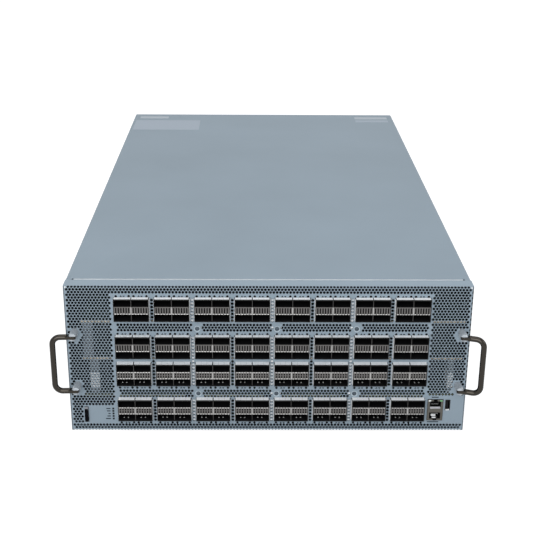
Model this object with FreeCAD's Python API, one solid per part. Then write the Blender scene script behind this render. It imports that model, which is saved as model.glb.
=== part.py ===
import FreeCAD, Part
import math
import os

# Four-unit rack ethernet switch: a folded steel chassis with 128 stacked pluggable ports on the
# front, two swivelling bail handles, three fan modules above four power supplies at the rear.
# Millimetres. X to the right, Y to the rear, Z up. The origin is the middle of the base.

Vec = FreeCAD.Vector
X_AXIS = Vec(1, 0, 0)
Y_AXIS = Vec(0, 1, 0)
Z_AXIS = Vec(0, 0, 1)

# Chassis
WIDTH = 440.0
HEIGHT = 174.5
DEPTH = 776.0
SHEET = 1.2
BEND = 2.75
FOLD = 2.0
FRONT = -DEPTH / 2
REAR = DEPTH / 2
HALF = WIDTH / 2
SIDE_IN = HALF - SHEET
COVER_UNDER = HEIGHT - SHEET
COVER_FLANGE = 12.0
COVER_FLANGE_GAP = 0.3
COVER_RECESS = 2.4
COVER_RECESS_HALF = 211.5
BEZEL_DEPTH = 19.5
BEZEL_LAP_AHEAD = 6.0
BEZEL_LAP_BEHIND = 12.0
SEAM_GAP = 0.2
SHELL_START = FRONT + BEZEL_DEPTH + SEAM_GAP
LIP_FROM, LIP_TO = FRONT + 8.0, FRONT + 23.0
FLOOR_LIP_HALF = 200.0
SIDE_LIP_BOTTOM = 12.0
SIDE_LIP_DROP = 8.0
SLIP = 0.1
OVERCUT = 1.0
TOUCH = 0.01
PANEL_BACK = FRONT + SHEET

# Rack-ear holes in each side wall
EAR_Y = FRONT + 70.0
EAR_Z = 87.25
EAR_SPACING_Y = 60.0
EAR_SPACING_Z = 100.0
EAR_HOLE_R = 2.15

# Stacked port cages: four rows of eight, each two ports wide and two ports high
BANK_COUNT = 8
BANK_PITCH = 43.2
BANK_FIRST_X = -147.2
CAGE_WIDTH = 38.0
CAGE_HEIGHT = 25.6
CAGE_WALL = 0.6
CAGE_PROUD = 7.0
CAGE_REACH = 58.0
CAGE_BOTTOMS = (136.4, 92.05, 59.0, 15.3)
DIVIDER = 0.8
SPACER_HEIGHT = 8.6
SPACER_SETBACK = 0.8
RECEPTACLE_LENGTH = 12.0
CAGE_GAP = 0.3

# Circuit boards: one above, one between and one below the rows
BOARD = 2.4
BOARD_TOPS = (134.2, 89.85, 45.0)
BOARD_SETBACK = PANEL_BACK + 0.4
BOARD_X = (-203.0, 213.0)
LINE_BOARD_DEPTH = 118.0
MAIN_BOARD_DEPTH = 430.0
BOARD_NOTCH_LEFT = 9.0
BOARD_NOTCH_RIGHT = 12.0
BOARD_NOTCH_DEPTH = 6.0
PILLAR_SIDES = 6
PILLAR_ACROSS = 7.0
PILLAR_X = (-184.0, 186.0)
PILLAR_Y = (FRONT + 34.0, FRONT + 108.0)
REAR_PILLAR_X = (-184.0, 184.0)
REAR_PILLAR_Y = FRONT + MAIN_BOARD_DEPTH - 14.0
BRACKET_Y = (FRONT + 4.0, FRONT + 24.0)
UPPER_BRACKET_X = ((-202.0, -191.0),)
LOWER_BRACKET_X = ((-196.0, -186.0), (199.0, 205.0))

# Switching chip and its heat sink
CHIP_Y = FRONT + 250.0
CHIP_SIZE = 64.0
CHIP_HEIGHT = 4.0
SINK_FINS = 17
SINK_FIN = 1.6
SINK_PITCH = 9.0
SINK_BASE = 8.0
SINK_HEIGHT = 62.0
SINK_LENGTH = 150.0

# Upright posts that stiffen the panel between the banks
POST_X = (-82.4, 4.0, 90.4)
POST_WIDTH = 4.6
POST_THICK = 3.0
POST_Z = (5.0, 168.0)
TAB_REACH = 10.0
TAB_HEIGHT = 9.0
TAB_Z = (125.5, 46.75)

# Swivelling bail handles
PIVOT_X = 209.8
PIVOT_OUT = 14.4
LEG_Z = (57.7, 122.1)
BAIL_REACH = 22.1
BAIL_ROD_R = 3.175
BAIL_ROD_SIDES = 12
BAIL_BEND_R = 8.5
BAIL_BEND_STEPS = 3
BAIL_ANGLE_LEFT = 2.5
BAIL_ANGLE_RIGHT = 19.8
HANDLE_POST_R = 4.3
HANDLE_POST_NOSE = 3.6
HANDLE_POST_CHAMFER = 1.4
SLOT_WIDTH = 3.8
SLOT_BEHIND = 5.2
TONGUE_THICK = 3.4
TONGUE_LENGTH = 6.4
PIN_SIDES = 12
PIN_ACROSS = 2.9
PIN_HOLE_R = 1.55

# Status corner: pull-out tag and lamps
TAG_X = (-203.8, -200.2)
TAG_Z = (11.2, 29.9)
TAG_LENGTH = 70.0
TAG_PROUD = 3.0
TAG_GAP = 0.4
SLEEVE_LENGTH = 72.0
SLEEVE_WALL = 1.2
LAMP_X = -172.3
LAMP_Z = (27.5, 24.5, 21.3, 18.1, 14.9)
LAMP_SIZE = 1.6
LAMP_BAR_DEPTH = 4.0
LAMP_BAR_WIDTH = 4.0
LAMP_BAR_MARGIN = 2.0

# Service corner: stacked network jacks and one upright service port
JACK_X = (178.1, 195.3)
JACK_Z = (13.3, 39.4)
JACK_PROUD = 1.0
JACK_REACH = 24.0
JACK_PORT_WIDTH = 12.4
JACK_PORT_HEIGHT = 7.8
JACK_PORT_DEPTH = 16.0
JACK_PORT_BOTTOMS = (15.6, 29.6)
LATCH_NOTCH_WIDTH = 4.4
LATCH_NOTCH_HEIGHT = 2.2
CONTACT_DEPTH = 6.0
CONTACT_HEIGHT = 2.6
SERVICE_X = (197.9, 203.1)
SERVICE_Z = (26.0, 38.8)
SERVICE_WALL = 0.4
SERVICE_PROUD = 0.3
SERVICE_REACH = 17.0
SERVICE_TONGUE = 1.8
SERVICE_TONGUE_SHIFT = 0.9
SERVICE_TONGUE_INSET = 1.2
SERVICE_BOARD_X = (176.0, 212.0)
SERVICE_BOARD_Z = (11.6, 13.3)
SERVICE_BOARD_DEPTH = 60.0
SERVICE_WING = 1.6
SERVICE_WING_DEPTH = 40.0
SERVICE_PILLAR_ACROSS = 6.0
SERVICE_PILLARS = ((181.0, 52.0), (207.0, 10.0), (207.0, 52.0))

# Fan modules
FAN_X = (-144.0, 0.0, 144.0)
FAN_WIDTH = 141.0
FAN_BOTTOM = 43.9
FAN_HEIGHT = 127.4
FAN_DEPTH = 108.0
FAN_FACE = 2.0
FAN_MIDDLE_Z = FAN_BOTTOM + FAN_HEIGHT / 2
FAN_WINDOW = 112.0
FAN_DUCT_R = 57.5
FAN_DUCT_SIDES = 30
FAN_FRAME = 120.0
FAN_FRAME_DEPTH = 38.0
GRILLE_BARS = 7
GRILLE_PITCH = 14.0
GRILLE_BAR = 2.4
HUB_R = 21.0
HUB_SIDES = 15
HUB_DEPTH = 24.0
BLADE_TIP_R = 54.0
BLADE_COUNT = 5
BLADE_THICK = 2.2
BLADE_CHORD = 29.0
BLADE_PITCH = 38.0
BLADE_ROOT = 3.0
SHAFT_SIDES = 12
SHAFT_ACROSS = 4.8
HUB_BORE_R = 2.55
MOTOR_DEPTH = 7.0
MOTOR_ACROSS = 40.0
ROTOR_GAP = 1.0
STRUT = 5.0
STRUT_DEPTH = 5.0
STRUT_LENGTH = 118.0
STRAP_HALF = 44.0
STRAP_WIDTH = 14.0
STRAP_THICK = 3.0
STRAP_OUT = 24.0

# Power supplies
SUPPLY_X = (-159.0, -53.0, 53.0, 159.0)
SUPPLY_WIDTH = 73.5
SUPPLY_BOTTOM = 1.6
SUPPLY_HEIGHT = 39.8
SUPPLY_DEPTH = 188.0
SUPPLY_PROUD = 2.0
FACE_WIDTH = 33.0
FACE_DEPTH = 22.0
INLET_WIDTH = 24.6
INLET_HEIGHT = 16.8
INLET_DEPTH = 16.0
INLET_Z = 8.6
INLET_SHIFT = 0.8
BLADE_PIN = (2.0, 4.6)
BLADE_PIN_LENGTH = 10.0
BLADE_PIN_SPOTS = ((-7.0, 2.4), (7.0, 2.4), (0.0, -2.4))
LOUVRE_COUNT = 6
LOUVRE_PITCH = 5.2
LOUVRE_HEIGHT = 2.6
LOUVRE_WIDTH = 25.0
LOUVRE_MARGIN = 2.5
LOUVRE_DEPTH = 5.0
GRIP_OUT = 26.0
GRIP_BAR = 4.0
GRIP_MARGIN = 1.5
LATCH_THICK = 2.6
LATCH_REACH = 26.0
LATCH_HEIGHT = 15.0
LATCH_FOOT = 6.0
LATCH_TRAVEL = 3.0
LATCH_GAP = 0.4
LATCH_INSET = 3.0
LATCH_TIP_R = 4.0

# Rear bays
BAY_GAP = 0.4
FRAME_Y = REAR - 6.0
SHELF_Z = 42.1
SHELF_DEPTH = 215.0
PARTITION_DEPTH = 110.0
FRAME_HALF = 217.3
FRAME_RETURN = 12.0
FRAME_GAP = 0.2
REAR_BOARD_HALF = 210.0
FAN_BOARD_GAP = 4.0
FAN_BOARD_THICK = 1.6
FAN_BOARD_HEIGHT = 22.0


def block(x, y, z):
    """Box between pairs of limits."""
    size = [b - a for a, b in (x, y, z)]
    return Part.makeBox(*size, Vec(x[0], y[0], z[0]))


def centred(middle, size):
    """Limits of a length about its middle."""
    return middle - size / 2, middle + size / 2


def rod(radius, start, axis, length):
    """Cylinder from a start point along an axis."""
    return Part.makeCylinder(radius, length, start, axis)


def prism(points, direction):
    """Closed outline of points, extruded."""
    outline = Part.makePolygon(points + points[:1])
    return Part.Face(outline).extrude(direction)


def edges_at(shape, test):
    """Edges whose two ends both pass a test."""
    return [e for e in shape.Edges if all(test(v.Point) for v in e.Vertexes)]


def long_edges_at(shape, test):
    """Edges that pass a test at both ends and run from front to rear."""
    return [e for e in edges_at(shape, test) if e.BoundBox.YLength > DEPTH / 2]


def bank_x(bank):
    """Middle of a bank of four ports."""
    return BANK_FIRST_X + BANK_PITCH * bank


def banks():
    """Row, middle x and bottom z of every cage."""
    for row, bottom in enumerate(CAGE_BOTTOMS):
        for bank in range(BANK_COUNT):
            yield row, bank_x(bank), bottom


def folded_pan(inset, radius, back):
    """Solid of the bezel's envelope, rounded round its front edges."""
    limits = (-HALF + inset, HALF - inset)
    heights = (inset, HEIGHT - inset)
    pan = block(limits, (FRONT + inset, back), heights)
    return pan.makeFillet(radius, edges_at(pan, lambda p: abs(p.y - FRONT - inset) < TOUCH))


def through_panel(x, z):
    """Rectangular cutter through the front panel."""
    return block(x, (FRONT - OVERCUT, PANEL_BACK + OVERCUT), z)


def grown(limits, by):
    """Limits widened on both sides."""
    return limits[0] - by, limits[1] + by


def front_bezel():
    """Front panel folded back on all four edges, with its windows and a lap below the cover."""
    back = FRONT + BEZEL_DEPTH
    shell = folded_pan(0, BEND, back).cut(folded_pan(SHEET, BEND - SHEET, back + OVERCUT))
    lap_x = (-COVER_RECESS_HALF, COVER_RECESS_HALF)
    lap_y = (back - BEZEL_LAP_AHEAD, back + BEZEL_LAP_BEHIND)
    shell = shell.fuse(block(lap_x, lap_y, (COVER_UNDER - SHEET, COVER_UNDER))).removeSplitter()
    cutters = []
    for _, x, bottom in banks():
        window = grown(centred(x, CAGE_WIDTH), CAGE_GAP)
        cutters.append(through_panel(window, grown((bottom, bottom + CAGE_HEIGHT), CAGE_GAP)))
    cutters.append(through_panel(grown(JACK_X, CAGE_GAP), grown(JACK_Z, CAGE_GAP)))
    cutters.append(through_panel(grown(SERVICE_X, CAGE_GAP), grown(SERVICE_Z, CAGE_GAP)))
    cutters.append(through_panel(grown(TAG_X, TAG_GAP), grown(TAG_Z, TAG_GAP)))
    lamp_x = centred(LAMP_X, LAMP_SIZE)
    cutters += [through_panel(lamp_x, centred(z, LAMP_SIZE)) for z in LAMP_Z]
    return shell.cut(cutters)


def mirrored_profile(right):
    """Outline in the X-Z plane from its right half, read from the middle upwards."""
    left = [(-x, z) for x, z in reversed(right)]
    return [Vec(x, 0, z) for x, z in right + left]


def base_tray():
    """Floor and side walls folded from one sheet, with front lips and rack-ear holes."""
    shoulder = HEIGHT - COVER_FLANGE
    tuck = SIDE_IN - SLIP
    top = COVER_UNDER - SLIP
    right = [(HALF, 0), (HALF, shoulder), (tuck, shoulder), (tuck, top), (tuck - SHEET, top)]
    right += [(tuck - SHEET, shoulder - SHEET), (SIDE_IN, shoulder - SHEET), (SIDE_IN, SHEET)]
    outline = [p + Y_AXIS * SHELL_START for p in mirrored_profile(right)]
    tray = prism(outline, Y_AXIS * (REAR - SHELL_START))
    tray = tray.makeFillet(FOLD, long_edges_at(tray, lambda p: abs(p.z) < TOUCH))
    lips = [block((-FLOOR_LIP_HALF, FLOOR_LIP_HALF), (LIP_FROM, LIP_TO), (SHEET, 2 * SHEET))]
    for side in (-1, 1):
        x = sorted((side * (SIDE_IN - SHEET), side * SIDE_IN))
        lips.append(block(x, (LIP_FROM, LIP_TO), (SIDE_LIP_BOTTOM, shoulder - SIDE_LIP_DROP)))
    tray = tray.fuse(lips).removeSplitter()
    holes = []
    for y in centred(EAR_Y, EAR_SPACING_Y):
        for z in centred(EAR_Z, EAR_SPACING_Z):
            holes.append(rod(EAR_HOLE_R, Vec(-HALF, y, z), X_AXIS, WIDTH))
    return tray.cut(holes)


def top_cover():
    """Top sheet with folded sides, set back at the front where it lies over the bezel's lap."""
    low = HEIGHT - COVER_FLANGE + COVER_FLANGE_GAP
    right = [(SIDE_IN, COVER_UNDER), (SIDE_IN, low), (HALF, low), (HALF, HEIGHT)]
    outline = [p + Y_AXIS * SHELL_START for p in mirrored_profile(right)]
    cover = prism(outline, Y_AXIS * (REAR - SHELL_START))
    cover = cover.makeFillet(FOLD, long_edges_at(cover, lambda p: abs(p.z - HEIGHT) < TOUCH))
    recess_x = (-COVER_RECESS_HALF, COVER_RECESS_HALF)
    return cover.cut(block(recess_x, (SHELL_START, SHELL_START + COVER_RECESS), (COVER_UNDER, HEIGHT)))


def fan_bay(x):
    """Limits of a fan module's window."""
    z = (FAN_BOTTOM, FAN_BOTTOM + FAN_HEIGHT)
    return grown(centred(x, FAN_WIDTH), BAY_GAP), grown(z, BAY_GAP)


def supply_bay(x):
    """Limits of a power supply's window."""
    z = (SUPPLY_BOTTOM, SUPPLY_BOTTOM + SUPPLY_HEIGHT)
    return grown(centred(x, SUPPLY_WIDTH), BAY_GAP), (z[0] - BAY_GAP, SHELF_Z)


def rear_frame():
    """Rear plate with side returns and a window for every module."""
    top = COVER_UNDER - FRAME_GAP
    width = (-FRAME_HALF, FRAME_HALF)
    plate = block(width, (FRAME_Y, FRAME_Y + SHEET), (SHEET, top))
    returns = []
    for side in (-1, 1):
        x = sorted((side * (FRAME_HALF - SHEET), side * FRAME_HALF))
        returns.append(block(x, (FRAME_Y - FRAME_RETURN, FRAME_Y), (SHEET, top)))
    plate = plate.fuse(returns).removeSplitter()
    cutters = []
    for x, z in [fan_bay(x) for x in FAN_X] + [supply_bay(x) for x in SUPPLY_X]:
        cutters.append(block(x, grown((FRAME_Y, FRAME_Y + SHEET), OVERCUT), z))
    return plate.cut(cutters)


def bay_shelf():
    """Shelf that carries the fan modules above the power supplies."""
    width = (-FRAME_HALF + SHEET, FRAME_HALF - SHEET)
    return block(width, (REAR - SHELF_DEPTH, FRAME_Y), (SHELF_Z, SHELF_Z + SHEET))


def fan_partitions():
    """Upright walls between the fan modules."""
    y = (REAR - PARTITION_DEPTH, FRAME_Y)
    middles = [(a + b) / 2 for a, b in zip(FAN_X, FAN_X[1:])]
    walls = [block(centred(x, SHEET), y, (SHELF_Z + SHEET, COVER_UNDER)) for x in middles]
    return Part.makeCompound(walls)


def supply_guides():
    """Guide walls on both sides of each power supply."""
    guides = []
    for x in SUPPLY_X:
        for edge, outward in zip(grown(centred(x, SUPPLY_WIDTH), BAY_GAP), (-1, 1)):
            limits = sorted((edge, edge + outward * SHEET))
            guides.append(block(limits, (REAR - SHELF_DEPTH, FRAME_Y), (SHEET, SHELF_Z)))
    return Part.makeCompound(guides)


def panel_post(x):
    """Upright strip behind the panel with two screw tabs."""
    y = (PANEL_BACK, PANEL_BACK + POST_THICK)
    strip = block(centred(x, POST_WIDTH), y, POST_Z)
    tab_x = (x - POST_WIDTH / 2, x + TAB_REACH)
    tabs = [block(tab_x, y, centred(z, TAB_HEIGHT)) for z in TAB_Z]
    return strip.fuse(tabs).removeSplitter()


def board(top, depth):
    """Circuit board notched at its front edge round the panel posts."""
    z = (top - BOARD, top)
    plate = block(BOARD_X, (BOARD_SETBACK, FRONT + depth), z)
    notches = []
    for x in POST_X:
        limits = (x - BOARD_NOTCH_LEFT, x + BOARD_NOTCH_RIGHT)
        y = (BOARD_SETBACK - OVERCUT, BOARD_SETBACK + BOARD_NOTCH_DEPTH)
        notches.append(block(limits, y, grown(z, OVERCUT)))
    return plate.cut(notches)


def sided_ring(sides, across, middle, first, second):
    """Corners of a regular outline in the plane of two axes, a flat towards the first."""
    radius = across / 2 / math.cos(math.pi / sides)
    corners = []
    for corner in range(sides):
        turn = 2 * math.pi * (corner + 0.5) / sides
        corners.append(middle + first * radius * math.cos(turn) + second * radius * math.sin(turn))
    return corners


def sided_bar(sides, across, start, axis, length):
    """Bar with a number of flat sides from a start point along Y or Z."""
    return prism(sided_ring(sides, across, start, X_AXIS, axis.cross(X_AXIS)), axis * length)


def pillar(across, x, y, z):
    """Six-sided pillar between two heights."""
    return sided_bar(PILLAR_SIDES, across, Vec(x, y, z[0]), Z_AXIS, z[1] - z[0])


def board_spacers():
    """Pillars that stack the boards on the floor of the tray."""
    under = [top - BOARD for top in BOARD_TOPS]
    storeys = [(BOARD_TOPS[1], under[0]), (BOARD_TOPS[2], under[1]), (SHEET, under[2])]
    service_spot = (PILLAR_X[1], PILLAR_Y[0])
    spots = [(x, y) for x in PILLAR_X for y in PILLAR_Y] + [(0, PILLAR_Y[1])]
    pillars = []
    for x, y in spots:
        kept = storeys[:-1] if (x, y) == service_spot else storeys
        pillars += [pillar(PILLAR_ACROSS, x, y, z) for z in kept]
    for x in REAR_PILLAR_X:
        pillars.append(pillar(PILLAR_ACROSS, x, REAR_PILLAR_Y, (SHEET, under[1])))
    for x, y in SERVICE_PILLARS:
        pillars.append(pillar(SERVICE_PILLAR_ACROSS, x, FRONT + y, (SHEET, SERVICE_BOARD_Z[0])))
    return Part.makeCompound(pillars)


def side_brackets():
    """Folded uprights that tie the boards together behind the side vents."""
    storeys = (
        (UPPER_BRACKET_X, (BOARD_TOPS[1], BOARD_TOPS[0] - BOARD)),
        (LOWER_BRACKET_X, (BOARD_TOPS[2], BOARD_TOPS[1] - BOARD)),
    )
    uprights = []
    for places, z in storeys:
        for x in places:
            face = block(x, (BRACKET_Y[0], BRACKET_Y[0] + SHEET), z)
            web = block((x[0], x[0] + SHEET), BRACKET_Y, z)
            uprights.append(face.fuse(web).removeSplitter())
    return Part.makeCompound(uprights)


def cage_row(row):
    """Eight open sheet-metal cages side by side."""
    bottom = CAGE_BOTTOMS[row]
    y = (FRONT - CAGE_PROUD, FRONT + CAGE_REACH)
    cages = []
    for bank in range(BANK_COUNT):
        x = centred(bank_x(bank), CAGE_WIDTH)
        z = (bottom, bottom + CAGE_HEIGHT)
        outer = block(x, y, z)
        cages.append(outer.cut(block(grown(x, -CAGE_WALL), grown(y, OVERCUT), grown(z, -CAGE_WALL))))
    return Part.makeCompound(cages)


def cage_inserts():
    """Upright divider and two vented middle sections in every cage."""
    inserts = []
    y = (FRONT - CAGE_PROUD + SPACER_SETBACK, FRONT + CAGE_REACH - RECEPTACLE_LENGTH)
    for _, x, bottom in banks():
        z = (bottom + CAGE_WALL, bottom + CAGE_HEIGHT - CAGE_WALL)
        inserts.append(block(centred(x, DIVIDER), y, z))
        middle = centred(bottom + CAGE_HEIGHT / 2, SPACER_HEIGHT)
        inner = CAGE_WIDTH / 2 - CAGE_WALL
        inserts.append(block((x - inner, x - DIVIDER / 2), y, middle))
        inserts.append(block((x + DIVIDER / 2, x + inner), y, middle))
    return Part.makeCompound(inserts)


def port_receptacles():
    """Stacked receptacles that close the cages and seat on the boards."""
    seats = (BOARD_TOPS[0], BOARD_TOPS[1], BOARD_TOPS[1] - BOARD, BOARD_TOPS[2] - BOARD)
    inner = CAGE_WIDTH / 2 - CAGE_WALL
    y = (FRONT + CAGE_REACH - RECEPTACLE_LENGTH, FRONT + CAGE_REACH)
    tail_y = (FRONT + CAGE_REACH, FRONT + CAGE_REACH + RECEPTACLE_LENGTH)
    receptacles = []
    for row, x, bottom in banks():
        z = (bottom + CAGE_WALL, bottom + CAGE_HEIGHT - CAGE_WALL)
        tail_z = (min(z[0], seats[row]), max(z[1], seats[row]))
        head = block((x - inner, x + inner), y, z)
        tail = block((x - inner, x + inner), tail_y, tail_z)
        receptacles.append(head.fuse(tail).removeSplitter())
    return Part.makeCompound(receptacles)


def handle_post(pivot):
    """Round post riveted to the panel, with a chamfered nose slotted for the handle."""
    nose = pivot - Y_AXIS * HANDLE_POST_NOSE
    post = rod(HANDLE_POST_R, nose, Y_AXIS, HANDLE_POST_NOSE + PIVOT_OUT)
    rim = edges_at(post, lambda p: abs(p.y - nose.y) < TOUCH)
    post = post.makeChamfer(HANDLE_POST_CHAMFER, rim)
    slot_y = (nose.y - OVERCUT, pivot.y + SLOT_BEHIND)
    slot = block(centred(pivot.x, 4 * HANDLE_POST_R), slot_y, centred(pivot.z, SLOT_WIDTH))
    return post.cut(slot)


def pivots():
    """Pivot points of the four handle posts."""
    for side in (-1, 1):
        for z in LEG_Z:
            yield Vec(side * PIVOT_X, FRONT - PIVOT_OUT, z)


def handle_posts():
    """The four posts of the two handles."""
    return Part.makeCompound([handle_post(pivot) for pivot in pivots()])


def handle_pins():
    """Pivot pins across the slots of the four posts."""
    half = Z_AXIS * SLOT_WIDTH / 2
    pins = [sided_bar(PIN_SIDES, PIN_ACROSS, p - half, Z_AXIS, SLOT_WIDTH) for p in pivots()]
    return Part.makeCompound(pins)


def bail_bend(middle_z, upward):
    """Points of one bend of a bail, in equal mitred steps."""
    points = []
    for step in range(BAIL_BEND_STEPS + 1):
        turn = math.radians(90 * step / BAIL_BEND_STEPS)
        x = BAIL_REACH - BAIL_BEND_R + BAIL_BEND_R * math.sin(turn)
        points.append(Vec(x, 0, middle_z + upward * BAIL_BEND_R * math.cos(turn)))
    return points


def bail(side, angle):
    """Bent rod with two flattened, bored ends, swung forward by an angle from straight out."""
    low, high = LEG_Z
    path = [Vec(TONGUE_LENGTH, 0, high)] + bail_bend(high - BAIL_BEND_R, 1)
    path += bail_bend(low + BAIL_BEND_R, -1)[::-1] + [Vec(TONGUE_LENGTH, 0, low)]
    ring = sided_ring(BAIL_ROD_SIDES, 2 * BAIL_ROD_R, path[0], Y_AXIS, Z_AXIS)
    section = Part.makePolygon(ring + ring[:1])
    mitred = 1
    solid = Part.makePolygon(path).makePipeShell([section], True, False, mitred)
    for z in LEG_Z:
        flat = block((0, TONGUE_LENGTH + OVERCUT), (-BAIL_ROD_R, BAIL_ROD_R), centred(z, TONGUE_THICK))
        under = Vec(0, 0, z - TONGUE_THICK / 2)
        eye = sided_bar(BAIL_ROD_SIDES, 2 * BAIL_ROD_R, under, Z_AXIS, TONGUE_THICK)
        bore = rod(PIN_HOLE_R, under, Z_AXIS, TONGUE_THICK)
        solid = solid.fuse([flat, eye]).removeSplitter().cut(bore)
    solid.rotate(Vec(0, 0, 0), Z_AXIS, -angle)
    if side < 0:
        solid = solid.mirror(Vec(0, 0, 0), X_AXIS)
    solid.translate(Vec(side * PIVOT_X, FRONT - PIVOT_OUT, 0))
    return solid


def info_tag():
    """Pull-out tag with a rounded grip."""
    y = (FRONT - TAG_PROUD, FRONT + TAG_LENGTH)
    tag = block(TAG_X, y, TAG_Z)
    corners = edges_at(tag, lambda p: abs(p.y - y[0]) < TOUCH and p.z in TAG_Z)
    ends = [e for e in corners if e.Length < 2 * (TAG_X[1] - TAG_X[0])]
    return tag.makeFillet(TAG_PROUD, ends)


def tag_sleeve():
    """Open sleeve behind the panel that guides the tag."""
    y = (PANEL_BACK, FRONT + SLEEVE_LENGTH)
    bore_x, bore_z = grown(TAG_X, TAG_GAP), grown(TAG_Z, TAG_GAP)
    sleeve = block(grown(bore_x, SLEEVE_WALL), y, grown(bore_z, SLEEVE_WALL))
    return sleeve.cut(block(bore_x, grown(y, OVERCUT), bore_z))


def status_lamps():
    """Column of lamp lenses moulded on one bar."""
    bar_z = grown((LAMP_Z[-1], LAMP_Z[0]), LAMP_BAR_MARGIN)
    bar_y = (PANEL_BACK, PANEL_BACK + LAMP_BAR_DEPTH)
    lamps = block(centred(LAMP_X, LAMP_BAR_WIDTH), bar_y, bar_z)
    pin_x = centred(LAMP_X, LAMP_SIZE)
    pins = [block(pin_x, (FRONT, PANEL_BACK), centred(z, LAMP_SIZE)) for z in LAMP_Z]
    return lamps.fuse(pins).removeSplitter()


def jack_port(bottom, notch_up):
    """Cavity of one network jack with its latch notch."""
    middle = sum(JACK_X) / 2
    y = (FRONT - JACK_PROUD - OVERCUT, FRONT - JACK_PROUD + JACK_PORT_DEPTH)
    z = (bottom, bottom + JACK_PORT_HEIGHT)
    notch_z = (z[1], z[1] + LATCH_NOTCH_HEIGHT) if notch_up else (z[0] - LATCH_NOTCH_HEIGHT, z[0])
    cavity = block(centred(middle, JACK_PORT_WIDTH), y, z)
    return cavity.fuse(block(centred(middle, LATCH_NOTCH_WIDTH), y, notch_z)).removeSplitter()


def network_jack():
    """Shielded body of the two stacked network jacks."""
    low, high = JACK_PORT_BOTTOMS
    shield = block(JACK_X, (FRONT - JACK_PROUD, FRONT + JACK_REACH), JACK_Z)
    return shield.cut([jack_port(low, False), jack_port(high, True)])


def jack_contacts():
    """Contact blocks at the inner ends of the network jacks."""
    middle = sum(JACK_X) / 2
    floor = FRONT - JACK_PROUD + JACK_PORT_DEPTH
    low, high = JACK_PORT_BOTTOMS
    lower_top = low + JACK_PORT_HEIGHT
    blocks = []
    for z in ((high, high + CONTACT_HEIGHT), (lower_top - CONTACT_HEIGHT, lower_top)):
        blocks.append(block(centred(middle, JACK_PORT_WIDTH), (floor - CONTACT_DEPTH, floor), z))
    return Part.makeCompound(blocks)


def service_port():
    """Upright service port: a metal shell round a contact tongue."""
    y = (FRONT - SERVICE_PROUD, FRONT + SERVICE_REACH)
    shell = block(SERVICE_X, y, SERVICE_Z)
    cavity_y = (y[0] - OVERCUT, y[1] - SERVICE_WALL)
    shell = shell.cut(block(grown(SERVICE_X, -SERVICE_WALL), cavity_y, grown(SERVICE_Z, -SERVICE_WALL)))
    tongue_left = SERVICE_X[0] + SERVICE_TONGUE_SHIFT
    tongue_x = (tongue_left, tongue_left + SERVICE_TONGUE)
    tongue = block(tongue_x, (PANEL_BACK, y[1]), grown(SERVICE_Z, -SERVICE_TONGUE_INSET))
    return shell.fuse(tongue).removeSplitter()


def service_board():
    """Board under the jacks with an upright wing that holds the service port."""
    floor = block(SERVICE_BOARD_X, (BOARD_SETBACK, FRONT + SERVICE_BOARD_DEPTH), SERVICE_BOARD_Z)
    wing_x = (SERVICE_X[1], SERVICE_X[1] + SERVICE_WING)
    wing_y = (BOARD_SETBACK, FRONT + SERVICE_WING_DEPTH)
    wing = block(wing_x, wing_y, (SERVICE_BOARD_Z[1], SERVICE_Z[1]))
    return floor.fuse(wing).removeSplitter()


def switch_chip():
    """Switching chip on the main board."""
    z = (BOARD_TOPS[1], BOARD_TOPS[1] + CHIP_HEIGHT)
    return block(centred(0, CHIP_SIZE), centred(CHIP_Y, CHIP_SIZE), z)


def heat_sink():
    """Finned heat sink on the switching chip."""
    y = centred(CHIP_Y, SINK_LENGTH)
    bottom = BOARD_TOPS[1] + CHIP_HEIGHT
    root, tip = bottom + SINK_BASE, bottom + SINK_HEIGHT
    span = SINK_PITCH * (SINK_FINS - 1)
    base = block(centred(0, span + SINK_FIN), y, (bottom, root))
    middles = [fin * SINK_PITCH - span / 2 for fin in range(SINK_FINS)]
    fins = [block(centred(x, SINK_FIN), y, (root, tip)) for x in middles]
    return base.fuse(fins).removeSplitter()


def fan_board():
    """Low board on the shelf that the fan modules plug into."""
    y = REAR - FAN_DEPTH - FAN_BOARD_GAP
    width = (-REAR_BOARD_HALF, REAR_BOARD_HALF)
    bottom = SHELF_Z + SHEET
    return block(width, (y - FAN_BOARD_THICK, y), (bottom, bottom + FAN_BOARD_HEIGHT))


def power_board():
    """Upright board that the power supplies plug into."""
    y = REAR - SHELF_DEPTH
    return block((-REAR_BOARD_HALF, REAR_BOARD_HALF), (y - BOARD, y), (SHEET, SHELF_Z + SHEET))


def fan_strap(x):
    """Strap handle across the face of a fan module."""
    width = centred(x, STRAP_WIDTH)
    strap = block(width, (REAR, REAR + STRAP_OUT), centred(FAN_MIDDLE_Z, 2 * STRAP_HALF))
    gap_z = centred(FAN_MIDDLE_Z, 2 * (STRAP_HALF - STRAP_THICK))
    strap = strap.cut(block(width, (REAR, REAR + STRAP_OUT - STRAP_THICK), gap_z))
    outer = edges_at(strap, lambda p: abs(p.y - REAR - STRAP_OUT) < TOUCH)
    return strap.makeChamfer(STRAP_THICK, [e for e in outer if e.BoundBox.XLength > STRAP_THICK])


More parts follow.
